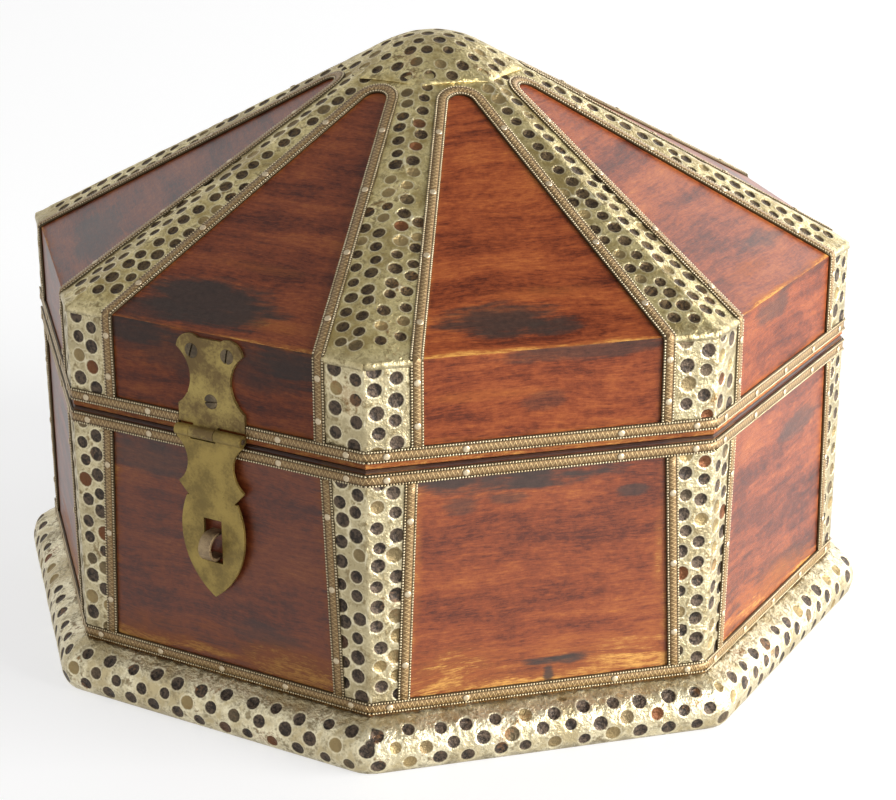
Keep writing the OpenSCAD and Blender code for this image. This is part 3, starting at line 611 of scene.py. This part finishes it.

# %% [markdown]
# ## Hammered metal
# The sheet is a pale, slightly warm alloy that has dulled. The lips of the pits are painted
# bright, partly polish and partly painted highlight, and their floors dark, partly tarnish and
# partly painted shade, so the depth that each point carries sets the colour and the roughness. A
# few pits have rusted, a few have a golden floor that is a painted reflection of warm light, and
# the sheet of the roof, where dust settles, is yellower.

# %% The finish of the hammered sheet
def hammered(name, seed, light="dacda6", dull="b0a27e", stain=0.35):
    f = Finish(name, Metallic=0.85)
    place = f.millimetres()
    roof = f.smooth(f.parts(place)[2], EAVE - 3, EAVE + 4)
    patch = f.noise(f.stretched(place, 0.06), seed, 3, 0.55)
    blotch = f.noise(f.stretched(place, 0.26), seed + 1, 4, 0.6)
    fine = f.noise(f.stretched(place, 0.9), seed + 2, 4, 0.6)
    pit, rim, shade = (f.attribute(n) for n in ("pit", "rim", "shade"))
    face = f.mix(f.smooth(patch * 0.5 + blotch * 0.5, 0.42, 0.58),
                 f.mix(roof, rgb(dull), rgb("a8945e")), f.mix(roof, rgb(light), rgb("ecdca2")))
    brown = f.smooth(blotch * 0.7 + fine * 0.3, 0.46, 0.62)
    face = f.mix(brown * (0.35 + patch * 0.8), face, rgb("6e5a30"))
    # painted highlight on the lips of the pits, partly polish
    bright = f.smooth(rim * (0.2 + fine * 0.6 + blotch * 0.9), 0.3, 0.95)
    face = f.mix(bright * 0.75, face, rgb("f0e6c6"))
    # the floors of the pits are painted dark: partly tarnish, partly painted shade of the hollows
    floor = f.mix(f.smooth(blotch * 0.4 + fine * 0.6, 0.42, 0.60),
                  f.mix(roof, rgb("38322d"), rgb("3c3026")),
                  f.mix(roof, rgb("6a5b4d"), rgb("6c5a40")))
    # painted reflection: a few pits get a golden floor, as if catching warm light
    floor = f.mix(f.smooth(shade, 0.78, 0.95) * 0.7, floor, rgb("b09a6a"))
    floor = f.mix(f.smooth(shade, 0.05, 0.03) * 0.7, floor, rgb("7d4c2c"))
    colour = f.mix(f.smooth(pit, 0.2, 0.8), face, floor)
    rust = f.smooth(patch * 0.7 + fine * 0.35, 0.60, 0.68) * stain
    colour = f.mix(rust, colour, rgb("94653c"))
    return f.feed(Base_Color=colour, Roughness=0.24 + fine * 0.18 + pit * 0.16 + brown * 0.15,
                  Normal=f.bump(fine * 0.25 + blotch, 0.75, 0.0016))

strap_metal = hammered("hammered_strap", 3.0)
print("hammered finish ready")

# %% What the folded straps share
def both_sides(right):
    """The outline of a strap from its right edge, which its left edge mirrors."""
    return finely(right + [(-s, t) for s, t in reversed(right)], 3, closed=True)

def fold_lines(low, high, bend):
    """Lines along a fold, where the flat sheet may turn."""
    return [finely([(s, low), (s, high)], 3) for s in (-bend, 0, bend)]

def round_corner(corner):
    return lambda flat, height: around(flat + (2 * HALF * (corner + 0.5), 0), height)

print("fold tools ready")

# %% [markdown]
# ## Corner straps of the base
# One sheet is folded round each corner and its cut edges lie under the bands. It widens a little
# upwards.

# %% Base straps
STRAP_LOW, STRAP_HIGH = FOOT_BAND + BAND_W / 2, RIM_BAND + BAND_W / 2
for corner in range(8):
    right = [(upright_x(STRAP_LOW), STRAP_LOW), (upright_x(STRAP_HIGH), STRAP_HIGH)]
    outline = both_sides([(HALF - x, z) for x, z in right])
    pits = Pits(outline, [-10.2, -3.6, 3.6, 10.2], 7.8, 3.0, 11 + corner, clear=1.2)
    heap = Heap()
    add_sheet(heap, outline, fold_lines(STRAP_LOW + 0.3, STRAP_HIGH - 0.3, 0.47), pits,
              round_corner(corner), corner)
    heap.piece("corner_sheet_%d" % (corner + 1), "base", "hammered_metal", strap_metal,
               ["base_strap_%d" % (corner + 1)])
print("last strap:", len(pits.places), "pits,", heap.count, "points")

# %% [markdown]
# ## Straps of the lid
# Below the eave a sheet is folded round the corner of the lid's upright boards. The sheet of the
# roof follows the hip from that corner to the crown, fills the room between the round-topped
# panels and turns down over the eave, where it laps the lower sheet.

# %% Outline of the roof's sheet on the right of a hip, from the corner and up the slope
def round_top(count):
    """From the leg on the right of a panel's frame to the middle of its round top."""
    return [(TIP_R * math.cos(a), TIP_Y + TIP_R * math.sin(a))
            for a in np.linspace(LEAN, math.pi / 2, count)]

TOP_Y = SLOPE - (CAP_R - CAP_LAP) / math.cos(PITCH)
LAP = 1.9                              # how far the sheet turns down over the eave
edge = [(HALF - 0.1, 0), (HALF + 0.15, -LAP), (LEG_FOOT, -LAP), (LEG_FOOT, 0), *round_top(8),
        (0.05, TOP_Y), (HALF * (1 - TOP_Y / SLOPE), TOP_Y)]

def to_hip(x, y):
    """From a place on a roof panel to how far across and along the hip it lies."""
    return (((HALF - x) * SLOPE - y * HALF) / HIP_LENGTH,
            ((HALF - x) * HALF + y * SLOPE) / HIP_LENGTH)

right = [to_hip(x, y) for x, y in edge]
roof_outline = both_sides(right)
print("roof sheet %.0f mm wide at the eave" % (2 * right[2][0]))

# %% Lid straps
EAVE_CLEAR = 5.2                       # no pits lie this near the eave, where the sheet turns
for corner in range(8):
    heap = Heap()
    low = LID_BAND + BAND_W / 2
    outline = both_sides([(STRAP_LID, low), (STRAP_LID, EAVE - 0.2)])
    add_sheet(heap, outline, fold_lines(low + 0.3, EAVE - 0.5, 0.47),
              Pits(outline, [-11, -3.8, 3.8, 11], 7.8, 3.0, 31 + corner),
              round_corner(corner), 40 + corner)
    creases = fold_lines(2.5, HIP_LENGTH - 37, 0.56)
    for way in (-1, 1):                # the lines of the fold over each eave
        for y in (0.31, -0.31):
            creases.append(np.array([(way * to_hip(x, y)[0], to_hip(x, y)[1])
                                     for x in np.linspace(HALF - 1.2, LEG_FOOT + 0.4, 7)]))
    pits = Pits(roof_outline, [-22.6, -16.2, -9.8, -3.5, 3.5, 9.8, 16.2, 22.6], 7.0, 2.75,
                51 + corner, clear=BAND_W / 2 + 0.6)
    pits.drop(lambda at: at[:, 1] * SLOPE - np.abs(at[:, 0]) * HALF < EAVE_CLEAR * HIP_LENGTH)
    add_sheet(heap, roof_outline, creases, pits, along_hip(corner), 60 + corner)
    heap.piece("lid_sheet_%d" % (corner + 1), "lid", "hammered_metal", strap_metal,
               ["lid_strap_%d" % (corner + 1)])
print("last strap:", len(pits.places), "pits,", heap.count, "points")

# %% [markdown]
# ## Sheet of the foot
# The foot is a rounded moulding covered by hammered sheet, smooth where it meets the wall. The
# whole ring is drawn as one long flat piece, with its seam at the back.

# %% Profile of the foot, from the ground to the wall
BULGE_X, BULGE_Z, BULGE_W, BULGE_H = 4.5, 7.0, 6.5, 9.3
ROUND_X = 62.0                             # the corner's turn starts this far from the middle
ROUND_IN = (HALF - ROUND_X) / math.tan(TURN / 2)
drop, out = (FOOT_H - BULGE_Z) / BULGE_H, BULGE_X / BULGE_W
top_angle = math.asin(1 / math.hypot(out, drop)) + math.atan2(out, drop)
arc = [(BULGE_X + BULGE_W * math.cos(a), BULGE_Z + BULGE_H * math.sin(a))
       for a in np.linspace(math.asin(-BULGE_Z / BULGE_H), top_angle, 28)]
profile = np.array(arc + [(0.0, FOOT_H)])
length = np.concatenate([[0], np.cumsum(np.linalg.norm(np.diff(profile, axis=0), axis=1))])
print("the sheet of the foot is %.1f mm wide" % length[-1])

# %% Flat places carried to the foot
TURN_R = ROUND_IN + 9                  # radius at which the flat sheet is measured
TURN_LENGTH = TURN_R * TURN / 2        # along the sheet, of half a corner
SPAN = 2 * (ROUND_X + TURN_LENGTH)

def round_foot(flat, height):
    side = np.round(flat[:, 0] / SPAN)
    s, t = flat[:, 0] - side * SPAN, flat[:, 1]
    out, up = (np.interp(t, length, profile[:, i]) for i in (0, 1))
    ahead, behind = (np.clip(t + d, 0, length[-1]) for d in (0.5, -0.5))
    run = [np.interp(ahead, length, profile[:, i]) - np.interp(behind, length, profile[:, i])
           for i in (0, 1)]
    size = np.hypot(*run)
    out, up = out + (height - SHEET) * run[1] / size, up - (height - SHEET) * run[0] / size
    straight = np.clip(s, -ROUND_X, ROUND_X)
    a = (s - straight) / TURN_R
    radius = ROUND_IN + out
    return turned(np.stack([straight + radius * np.sin(a),
                            ROUND_IN - APOTHEM - radius * np.cos(a), up], 1), side)

print("the ring of the foot is %.0f mm long" % (8 * SPAN))

# %% The foot's sheet
start = 4 * SPAN                           # the seam is in the middle of the rear
corners = [(-start, 0), (start, 0), (start, length[-1]), (-start, length[-1])]
ring = finely(corners, 3.2, closed=True)
rows = Pits(ring[:, ::-1], [4.4, 10.4, 16.4], 10.8, 2.95, 5, clear=1.5)
rows.places = rows.places[:, ::-1]
heap = Heap()
# two lines along the ring keep its smooth upper part even
creases = [finely([(-start + 0.4, t), (start - 0.4, t)], 3.2) for t in (20.2, 22.5)]
torn = [(SPAN / 2 + 1.5, 13, 2.6, 0.5), (SPAN / 2 + 3, 18.5, 1.8, 0.4)]  # at the front corner
add_sheet(heap, ring, creases, rows, round_foot, 71, step=3.4, dents=torn)
foot_metal = hammered("hammered_foot", 9.0, "f4eac8", "c2b28a", 0.5)
heap.piece("foot_sheet", "base", "hammered_metal", foot_metal, ["plinth_sheet"])
print("foot:", len(rows.places), "pits,", heap.count, "points")

# %% [markdown]
# ## Cap
# A low eight-sided cap covers the ends of the straps. It was beaten over a form, so that its flats
# run softly into a round crown.

# %% Flat places carried to the cap
CROWN_R, CAP_LIFT = 40.0, 2 * SHEET / math.cos(PITCH)
CROWN_Z = PEAK + CAP_LIFT - CROWN_R / math.cos(PITCH)

def over_cap(flat, height):
    x, y = flat.T
    faces = [np.maximum(x * math.sin(i * TURN) - y * math.cos(i * TURN), 0) for i in range(8)]
    r = np.sum([face ** 16 for face in faces], 0) ** (1 / 16)
    crown = np.sqrt(np.maximum(CROWN_R ** 2 - r ** 2, 0)) + CROWN_Z
    slope = PEAK + CAP_LIFT - r * math.tan(PITCH)
    z = np.where(r < CROWN_R * math.sin(PITCH), crown, slope)
    lean = np.minimum(r / (CROWN_R * math.sin(PITCH)), 1) * math.sin(PITCH)
    size, above = np.maximum(np.hypot(x, y), 1e-6), height - SHEET
    return np.stack([x + above * lean * x / size, y + above * lean * y / size,
                     z + above * math.cos(PITCH)], 1)

print("the crown is %.2f mm high" % over_cap(np.zeros((1, 2)), SHEET)[0, 2])

# %% The cap
eight = [(CAP_R / math.cos(TURN / 2) * math.sin((i + 0.5) * TURN),
          -CAP_R / math.cos(TURN / 2) * math.cos((i + 0.5) * TURN)) for i in range(8)]
outline = finely(eight, 2.6, closed=True)
pits = Pits(outline, [-28.8, -21.6, -14.4, -7.2, 0, 7.2, 14.4, 21.6, 28.8], 7.6, 2.6, 91, clear=1.2)
heap = Heap()
add_sheet(heap, outline, [], pits, over_cap, 92, step=2.6, swell=0.16)
heap.piece("cap_sheet", "lid", "hammered_metal", hammered("hammered_cap", 15.0, "ead9ac", "b09c72"),
           ["lid_cap"])
print("cap:", len(pits.places), "pits,", heap.count, "points")

# %% [markdown]
# ## Beaded bands
# The bands were rolled with a row of beads along each edge and a stamped zigzag between them, and
# then nailed over the edges of that sheet. The beads stand free of each other, so they are small
# domes set on a stepped strip. The zigzag is shallower than a hair, and is drawn by the finish
# from how far along and across the band each point lies. The finish paints shade into the
# zigzag's recesses, on the strip between the beads and at their feet, and a highlight on their
# tops.

# %% The finish of the bands
def beaded(name, seed):
    f = Finish(name, Metallic=0.6, Coat_Weight=0.05)
    place = f.millimetres()
    along, across, bead = (f.attribute(n) for n in ("along", "across", "bead"))
    patch = f.noise(f.stretched(place, 0.06), seed, 3, 0.55)
    fine = f.noise(f.stretched(place, 1.3), seed + 4, 3, 0.6)
    zigzag = f.node("Math", {"operation": "PINGPONG"}, {0: along, 1: 0.88})
    ridge = abs(across - (zigzag - 0.44) * 2.2)
    # painted shade: the recesses of the zigzag are darker than its ridges
    raised = f.smooth(ridge + (fine - 0.5) * 0.5, 0.55, 0.22)
    middle = f.mix(raised, rgb("876c48"), f.mix(patch, rgb("a98c60"), rgb("c6ab7c")))
    # painted shade on the stepped strip under and between the beads
    step = f.smooth(abs(across), 1.30, 1.42)
    flat = f.mix(step, middle, rgb("55482f"))
    # each bead is painted darker at its foot, painted shade, and bright at its top, a painted
    # highlight
    tip = f.mix(f.smooth(patch + fine * 0.4, 0.5, 0.85), rgb("b49e78"), rgb("dccdaa"))
    domed = f.mix(f.smooth(bead, 0.1, 0.55), rgb("605138"), tip)
    colour = f.mix(f.smooth(bead, 0.01, 0.02), flat, domed)
    grime = f.smooth(fine * 0.5 + patch * 0.5, 0.52, 0.64)
    colour = f.mix(grime * 0.4, colour, rgb("7c5c3e"))
    return f.feed(Base_Color=colour, Roughness=0.36 + fine * 0.2,
                  Normal=f.bump(raised * (1 - step), 0.8, 0.00025))

band_metal = beaded("beaded_band", 21.0)
print("band finish ready")

# %% Small shapes set out along a line
def add_small(heap, shape, faces, places, ahead, carry, **values):
    """Copies of a small shape, each at a flat place with its own x turned along a direction."""
    left = np.stack([-ahead[:, 1], ahead[:, 0]], 1)
    zero = carry(places, 0.0)
    x, y = ((carry(places + 0.05 * way, 0.0) - zero) * 20 for way in (ahead, left))
    x, y = (v / np.linalg.norm(v, axis=1)[:, None] for v in (x, y))
    z = np.cross(x, y)
    points = (zero[:, None] + shape[None, :, 0, None] * x[:, None]
              + shape[None, :, 1, None] * y[:, None] + shape[None, :, 2, None] * z[:, None])
    copies = [[i + k * len(shape) for i in face] for k in range(len(places)) for face in faces]
    values = {name: np.tile(value, len(places)) for name, value in values.items()}
    heap.add(points.reshape(-1, 3), copies, **values)

def lathed(profile, count):
    """A closed round shape from radii and heights, the last of them the middle of its top."""
    a = np.arange(count) * 2 * math.pi / count
    points = [(r * math.cos(b), r * math.sin(b), h) for r, h in profile[:-1] for b in a]
    faces = [[k * count + i, k * count + (i + 1) % count, (k + 1) * count + (i + 1) % count,
              (k + 1) * count + i] for k in range(len(profile) - 2) for i in range(count)]
    last = (len(profile) - 2) * count
    faces += [[last + i, last + (i + 1) % count, last + count] for i in range(count)]
    faces.append(list(range(count))[::-1])
    return np.array(points + [(0, 0, profile[-1][1])]), faces

bead, bead_faces = lathed([(0.46, 0.86), (0.36, 1.17), (0.0, 1.34)], 6)
# painted shade at a bead's foot rising to a painted highlight at its top
bead_shade_to_highlight = np.array([0.02] * 6 + [0.6] * 6 + [1.0])  # from its foot to its top
BEAD_ROW, BEAD_STEP = 1.87, 1.06       # from the middle of the band, and along it
print("a bead has", len(bead_faces), "faces")

# %% A band along a line
half_section = [(-2.35, 0), (-2.35, 0.78), (-2.26, 0.88), (-1.44, 0.90), (-1.36, 1.18)]
SECTION = np.array(half_section + [(0, 1.27)] + [(-x, h) for x, h in reversed(half_section)])

def add_band(heap, line, carry, step=4.0):
    line = finely(line, step)
    run = np.diff(line, axis=0)
    size = np.linalg.norm(run, axis=1)
    far = np.concatenate([[0], np.cumsum(size)])
    way = run / size[:, None]
    ends = np.concatenate([way[:1], way[:-1] + way[1:], way[-1:]])
    ends /= np.linalg.norm(ends, axis=1)[:, None]
    across = np.stack([-ends[:, 1], ends[:, 0]], 1)
    rows, columns = len(line), len(SECTION)
    flat = line[:, None] + across[:, None] * SECTION[None, :, :1]
    height = np.tile(SECTION[:, 1], rows)
    i, j = np.meshgrid(np.arange(rows - 1), np.arange(columns), indexing="ij")
    i, j, k = i.ravel(), j.ravel(), (j.ravel() + 1) % columns
    # seen from outside, the section runs from the right of the line to its left
    faces = np.stack([i * columns + j, (i + 1) * columns + j, (i + 1) * columns + k,
                      i * columns + k], 1)
    first = heap.add(carry(flat.reshape(-1, 2), height), faces,
                     along=np.repeat(far, columns), across=np.tile(SECTION[:, 0], rows), bead=0.0)
    heap.faces += [[first + c for c in range(columns)],
                   [first + (rows - 1) * columns + c for c in reversed(range(columns))]]
    for offset in (-BEAD_ROW, BEAD_ROW):
        row = line + across * offset
        size = np.concatenate([[0], np.cumsum(np.linalg.norm(np.diff(row, axis=0), axis=1))])
        count = max(1, int(size[-1] / BEAD_STEP))
        at = (np.arange(count) + 0.5) * size[-1] / count
        before, places, after = (np.stack([np.interp(at + d, size, row[:, i]) for i in (0, 1)], 1)
                                 for d in (-0.3, 0, 0.3))
        ahead = (after - before) / np.linalg.norm(after - before, axis=1)[:, None]
        add_small(heap, bead, bead_faces, places, ahead, carry, along=np.zeros(len(bead)),
                  across=np.full(len(bead), 1.9), bead=bead_shade_to_highlight)

print("band tools ready")

# %% Bands round the box, open where the hasp and the hinges stand
AIR = 0.35                             # between the end of a band and the metal beside it
HINGE_X, HINGE_GAP, HASP_GAP = 28.8, 12.5 + AIR, 14.2 + AIR  # half a leaf, and half the plate
GIRTH = 16 * HALF                      # all round the box, on the wood

def hoops(heap, z, gaps):
    """gaps are places round the box, from the middle of the front, that the band leaves open."""
    z += BAND_W / 2
    stops = sorted(gaps) or [(-GIRTH / 2, -GIRTH / 2)]
    for (_, start), (end, _) in zip(stops, stops[1:] + [(stops[0][0] + GIRTH, 0)]):
        parts = 1 if gaps else 2
        for k in range(parts):
            ends = [start + (end - start) * i / parts for i in (k, k + 1)]
            add_band(heap, [(x, z) for x in ends], around, 3.0)

rear = [(GIRTH / 2 + x - HINGE_GAP, GIRTH / 2 + x + HINGE_GAP) for x in (-HINGE_X, HINGE_X)]
base_hoops, lid_hoop = Heap(), Heap()
hoops(base_hoops, FOOT_BAND, [])
hoops(base_hoops, RIM_BAND, rear)
hoops(lid_hoop, LID_BAND, [(-HASP_GAP, HASP_GAP)] + rear)
base_hoops.piece("base_hoops", "base", "beaded_band", band_metal, ["base_hoop_bands"])
lid_hoop.piece("lid_hoop", "lid", "beaded_band", band_metal, ["lid_rim_band"])
print("hoops:", base_hoops.count + lid_hoop.count, "points")

# %% Upright bands of the base
uprights = Heap()
for side in range(8):
    for way in (-1, 1):
        line = [(2 * HALF * side + way * upright_x(z), z) for z in (FOOT_BAND + BAND_W, RIM_BAND)]
        add_band(uprights, line, around)
uprights.piece("base_uprights", "base", "beaded_band", band_metal, ["base_upright_bands"])
print("uprights:", uprights.count, "points")

# %% Round-topped bands of the lid
half_tip = round_top(7)
leg = [(LEG_FOOT, LID_BAND + BAND_W - EAVE), (LEG_FOOT, -0.6), (LEG_FOOT, -0.3), (LEG_FOOT, 0.0)]
turn_start = np.array(half_tip[0])
leg += [tuple((LEG_FOOT, 0) + (turn_start - (LEG_FOOT, 0)) * y / turn_start[1])
        for y in (0.3, 0.6)]
line = leg + half_tip
line += [(-x, y) for x, y in reversed(line[:-1])]
panel_bands = Heap()
for side in range(8):
    add_band(panel_bands, line, panel(side))
panel_bands.piece("lid_panel_frames", "lid", "beaded_band", band_metal, ["lid_panel_bands"])
print("panel bands:", panel_bands.count, "points")

# %% [markdown]
# ## Pins
# Round-headed pins hold the bands. Their heads are flattened by the hammer and worn bright.

# %% Pins
def pin_finish():
    f = Finish("pin_heads", Metallic=0.65)
    place = f.millimetres()
    fine = f.noise(f.stretched(place, 1.5), 4.0, 3, 0.6)
    top = f.attribute("top")
    bright = f.mix(fine, rgb("b09a78"), rgb("e6d6b6"))
    colour = f.mix(f.smooth(top, 0.1, 0.75), rgb("6b553c"), bright)
    return f.feed(Base_Color=colour, Roughness=0.32 + fine * 0.2,
                  Normal=f.bump(fine, 0.4, 0.0002))

head, head_faces = lathed([(1.2, 0.9), (1.3, 1.3), (1.22, 1.55), (0.85, 1.72), (0.0, 1.78)], 14)
shine = np.array([0.0] * 14 + [0.1] * 14 + [0.7] * 14 + [1.0] * 15)

def add_pins(heap, places, carry):
    places = np.array(places, float)
    level = np.tile([1.0, 0.0], (len(places), 1))
    add_small(heap, head, head_faces, places, level, carry, top=shine)

def between(a, b, count):
    return [np.array(a) + (np.array(b) - a) * (i + 0.5) / count for i in range(count)]

PIN_R = 1.25                           # half the width of a pin's head
HOOP_PLACES = [i * 2 * HALF / 4.5 for i in (-2, -1, 0, 1, 2)]

def hoop_places(z, gaps):
    places = [2 * HALF * side + x for side in range(8) for x in HOOP_PLACES]
    return [(x, z + BAND_W / 2) for x in places
            if not any(low - PIN_R < x < high + PIN_R for low, high in gaps)]

base_pins, lid_pins = Heap(), Heap()
hasp_gap = [(-HASP_GAP, HASP_GAP)]
add_pins(base_pins, hoop_places(FOOT_BAND, []) + hoop_places(RIM_BAND, rear + hasp_gap), around)
add_pins(lid_pins, hoop_places(LID_BAND, rear + hasp_gap), around)
for side in range(8):
    for way in (-1, 1):
        ends = [(2 * HALF * side + way * upright_x(z), z) for z in (FOOT_BAND + BAND_W, RIM_BAND)]
        add_pins(base_pins, between(*ends, 3), around)
        ends = [(way * LEG_FOOT, LID_BAND + BAND_W - EAVE), (way * LEG_FOOT, 0)]
        add_pins(lid_pins, between(*ends, 2), panel(side))
        ends = [(way * LEG_FOOT, 0), (way * (LEG_FOOT - TIP_Y * math.tan(LEAN)), TIP_Y)]
        add_pins(lid_pins, between(*ends, 4), panel(side))
pins = pin_finish()
base_pins.piece("base_pin_heads", "base", "pin_metal", pins, ["base_pins"])
lid_pins.piece("lid_pin_heads", "lid", "pin_metal", pins, ["lid_pins"])
print("pins:", base_pins.count // len(head) + lid_pins.count // len(head))

# %% [markdown]
# ## Hardware and plain wood
# The hasp, the hinges and their screws keep the measured solids, since their holes and slots have
# to fit. A bevel softens their edges so that they catch the light, and the finish does the rest.
# The plate and the flap are brass that has gone brown in patches.

# %% Finishes of the hardware
def aged_brass(name, seed, light, dark):
    f = Finish(name, Metallic=0.6, Coat_Weight=0.1, Coat_Roughness=0.3)
    place = f.millimetres()
    patch = f.noise(f.stretched(place, 0.09), seed, 4, 0.6)
    fine = f.noise(f.stretched(place, 0.9), seed + 2, 4, 0.65)
    colour = f.mix(f.smooth(patch * 0.7 + fine * 0.3, 0.40, 0.60), rgb(dark), rgb(light))
    spot = f.smooth(fine, 0.58, 0.70)
    colour = f.mix(spot * 0.5, colour, rgb("4f4024"))
    return f.feed(Base_Color=colour, Roughness=0.36 + fine * 0.25,
                  Normal=f.bump(fine * 0.7 + patch * 0.3, 0.5, 0.0005))

def plain_wood(name, seed, dark, light):
    f = Finish(name)
    place = f.millimetres()
    grain = f.noise(f.stretched(place, 0.02, 0.3, 0.3), seed, 4, 0.6)
    colour = f.mix(grain, rgb(dark), rgb(light))
    return f.feed(Base_Color=colour, Roughness=0.55 + grain * 0.2,
                  Normal=f.bump(grain, 0.4, 0.0004))

brass = aged_brass("aged_brass", 1.0, "a8904c", "7c6834")
plate_brass = aged_brass("plate_brass", 5.0, "b09a58", "6e5830")
staple_metal = aged_brass("staple_metal", 11.0, "ac9470", "66503a")
steel = aged_brass("dark_steel", 8.0, "7d6c50", "463a2a")
timber = plain_wood("plain_timber", 2.0, "6e4a2c", "b58957")
# the moulding, seen only through the torn hole in the foot, is painted near black as painted shade
# inside that hole
shaded_timber = plain_wood("shaded_timber", 4.0, "20140c", "46301f")
print("hardware finishes ready")

# %% Put them on the solids that stay
def finished(name, finish, bevel=0.0):
    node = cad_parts[name]
    for place in node.material_slots:
        place.material = finish
    if bevel:
        weld = node.modifiers.new("weld", "WELD")
        weld.merge_threshold = 1e-6
        flatten = node.modifiers.new("flatten", "DECIMATE")
        flatten.decimate_type, flatten.angle_limit = "DISSOLVE", math.radians(0.5)
        soften = node.modifiers.new("soften", "BEVEL")
        soften.width, soften.segments = bevel * MM, 2
        soften.limit_method, soften.angle_limit = "ANGLE", math.radians(35)
        even = node.modifiers.new("even", "WEIGHTED_NORMAL")
        even.keep_sharp, even.weight = False, 100

for finish, bevel, names in (
        (timber, 0, ["floor_board"]), (shaded_timber, 0, ["plinth_moulding"]),
        (brass, 0.22, ["hasp_flap"]), (staple_metal, 0.2, ["staple"]),
        (plate_brass, 0.2, ["hasp_plate"]), (steel, 0.12, ["hasp_screws", "hasp_pin"]),
        (plate_brass, 0.15, ["rear_hinge_base_leaves", "rear_hinge_lid_leaves"]),
        (steel, 0, ["rear_hinge_base_screws", "rear_hinge_lid_screws", "rear_hinge_pins"])):
    for name in names:
        finished(name, finish, bevel)
print("solids kept:", sum(1 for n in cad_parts.values() if n.modifiers))

# %% [markdown]
# ## Floor and backdrop
# The box stands on a plain pale floor that runs into a white backdrop. The camera and the
# reflections see the backdrop at full white, and the ceiling above it is dimmer for reflections,
# so that the polished metal has something dark to show. What the world adds as light is weaker
# than that, and the lamps shape the box. The floor is a middle grey that glows for the camera and
# the reflections alone, so that it looks pale, keeps a soft shadow and adds no light.

# %% World
def rays(nodes):
    """Three switches, on for what the camera, reflections and glass see."""
    path = nodes.node("LightPath").socket.node
    return [Socket(nodes, path.outputs["Is %s Ray" % kind])
            for kind in ("Camera", "Glossy", "Transmission")]

world = bpy.data.worlds.new("studio")
bpy.context.scene.world = world
world.use_nodes = True
studio = Nodes(world.node_tree)
direct, glossy, clear = rays(studio)
height = studio.parts(studio.node("TexCoord", out="Generated"))[2]
ceiling = studio.smooth(height, 0.50, 0.85)
reflected = glossy.higher(clear) * (1 - ceiling * 0.85)
strength = direct.higher(reflected).higher(0.44 - ceiling * 0.2)
backdrop = world.node_tree.nodes["Background"]
backdrop.inputs["Color"].default_value = (1, 1, 1, 1)
world.node_tree.links.new(strength.socket, backdrop.inputs["Strength"])
print("world of", len(world.node_tree.nodes), "nodes")

# %% Floor
floor_finish = Finish("pale_floor", Base_Color=(0.36, 0.36, 0.36, 1), Roughness=0.6,
                      Emission_Strength=0.65)
direct, glossy, clear = rays(floor_finish)
seen = direct.higher(glossy).higher(clear)
floor_finish.feed(Emission_Color=floor_finish.mix(seen, (0, 0, 0, 1), (1, 1, 1, 1)))
mesh = bpy.data.meshes.new("floor")
mesh.from_pydata([(-4, -4, 0), (4, -4, 0), (4, 4, 0), (-4, 4, 0)], [], [(0, 1, 2, 3)])
mesh.materials.append(floor_finish.material)
floor = bpy.data.objects.new("floor", mesh)
bpy.context.scene.collection.objects.link(floor)
floor.location.z = -0.0002
bpy.context.scene.view_settings.view_transform = "Standard"
print("floor", [round(v, 1) for v in floor.dimensions])
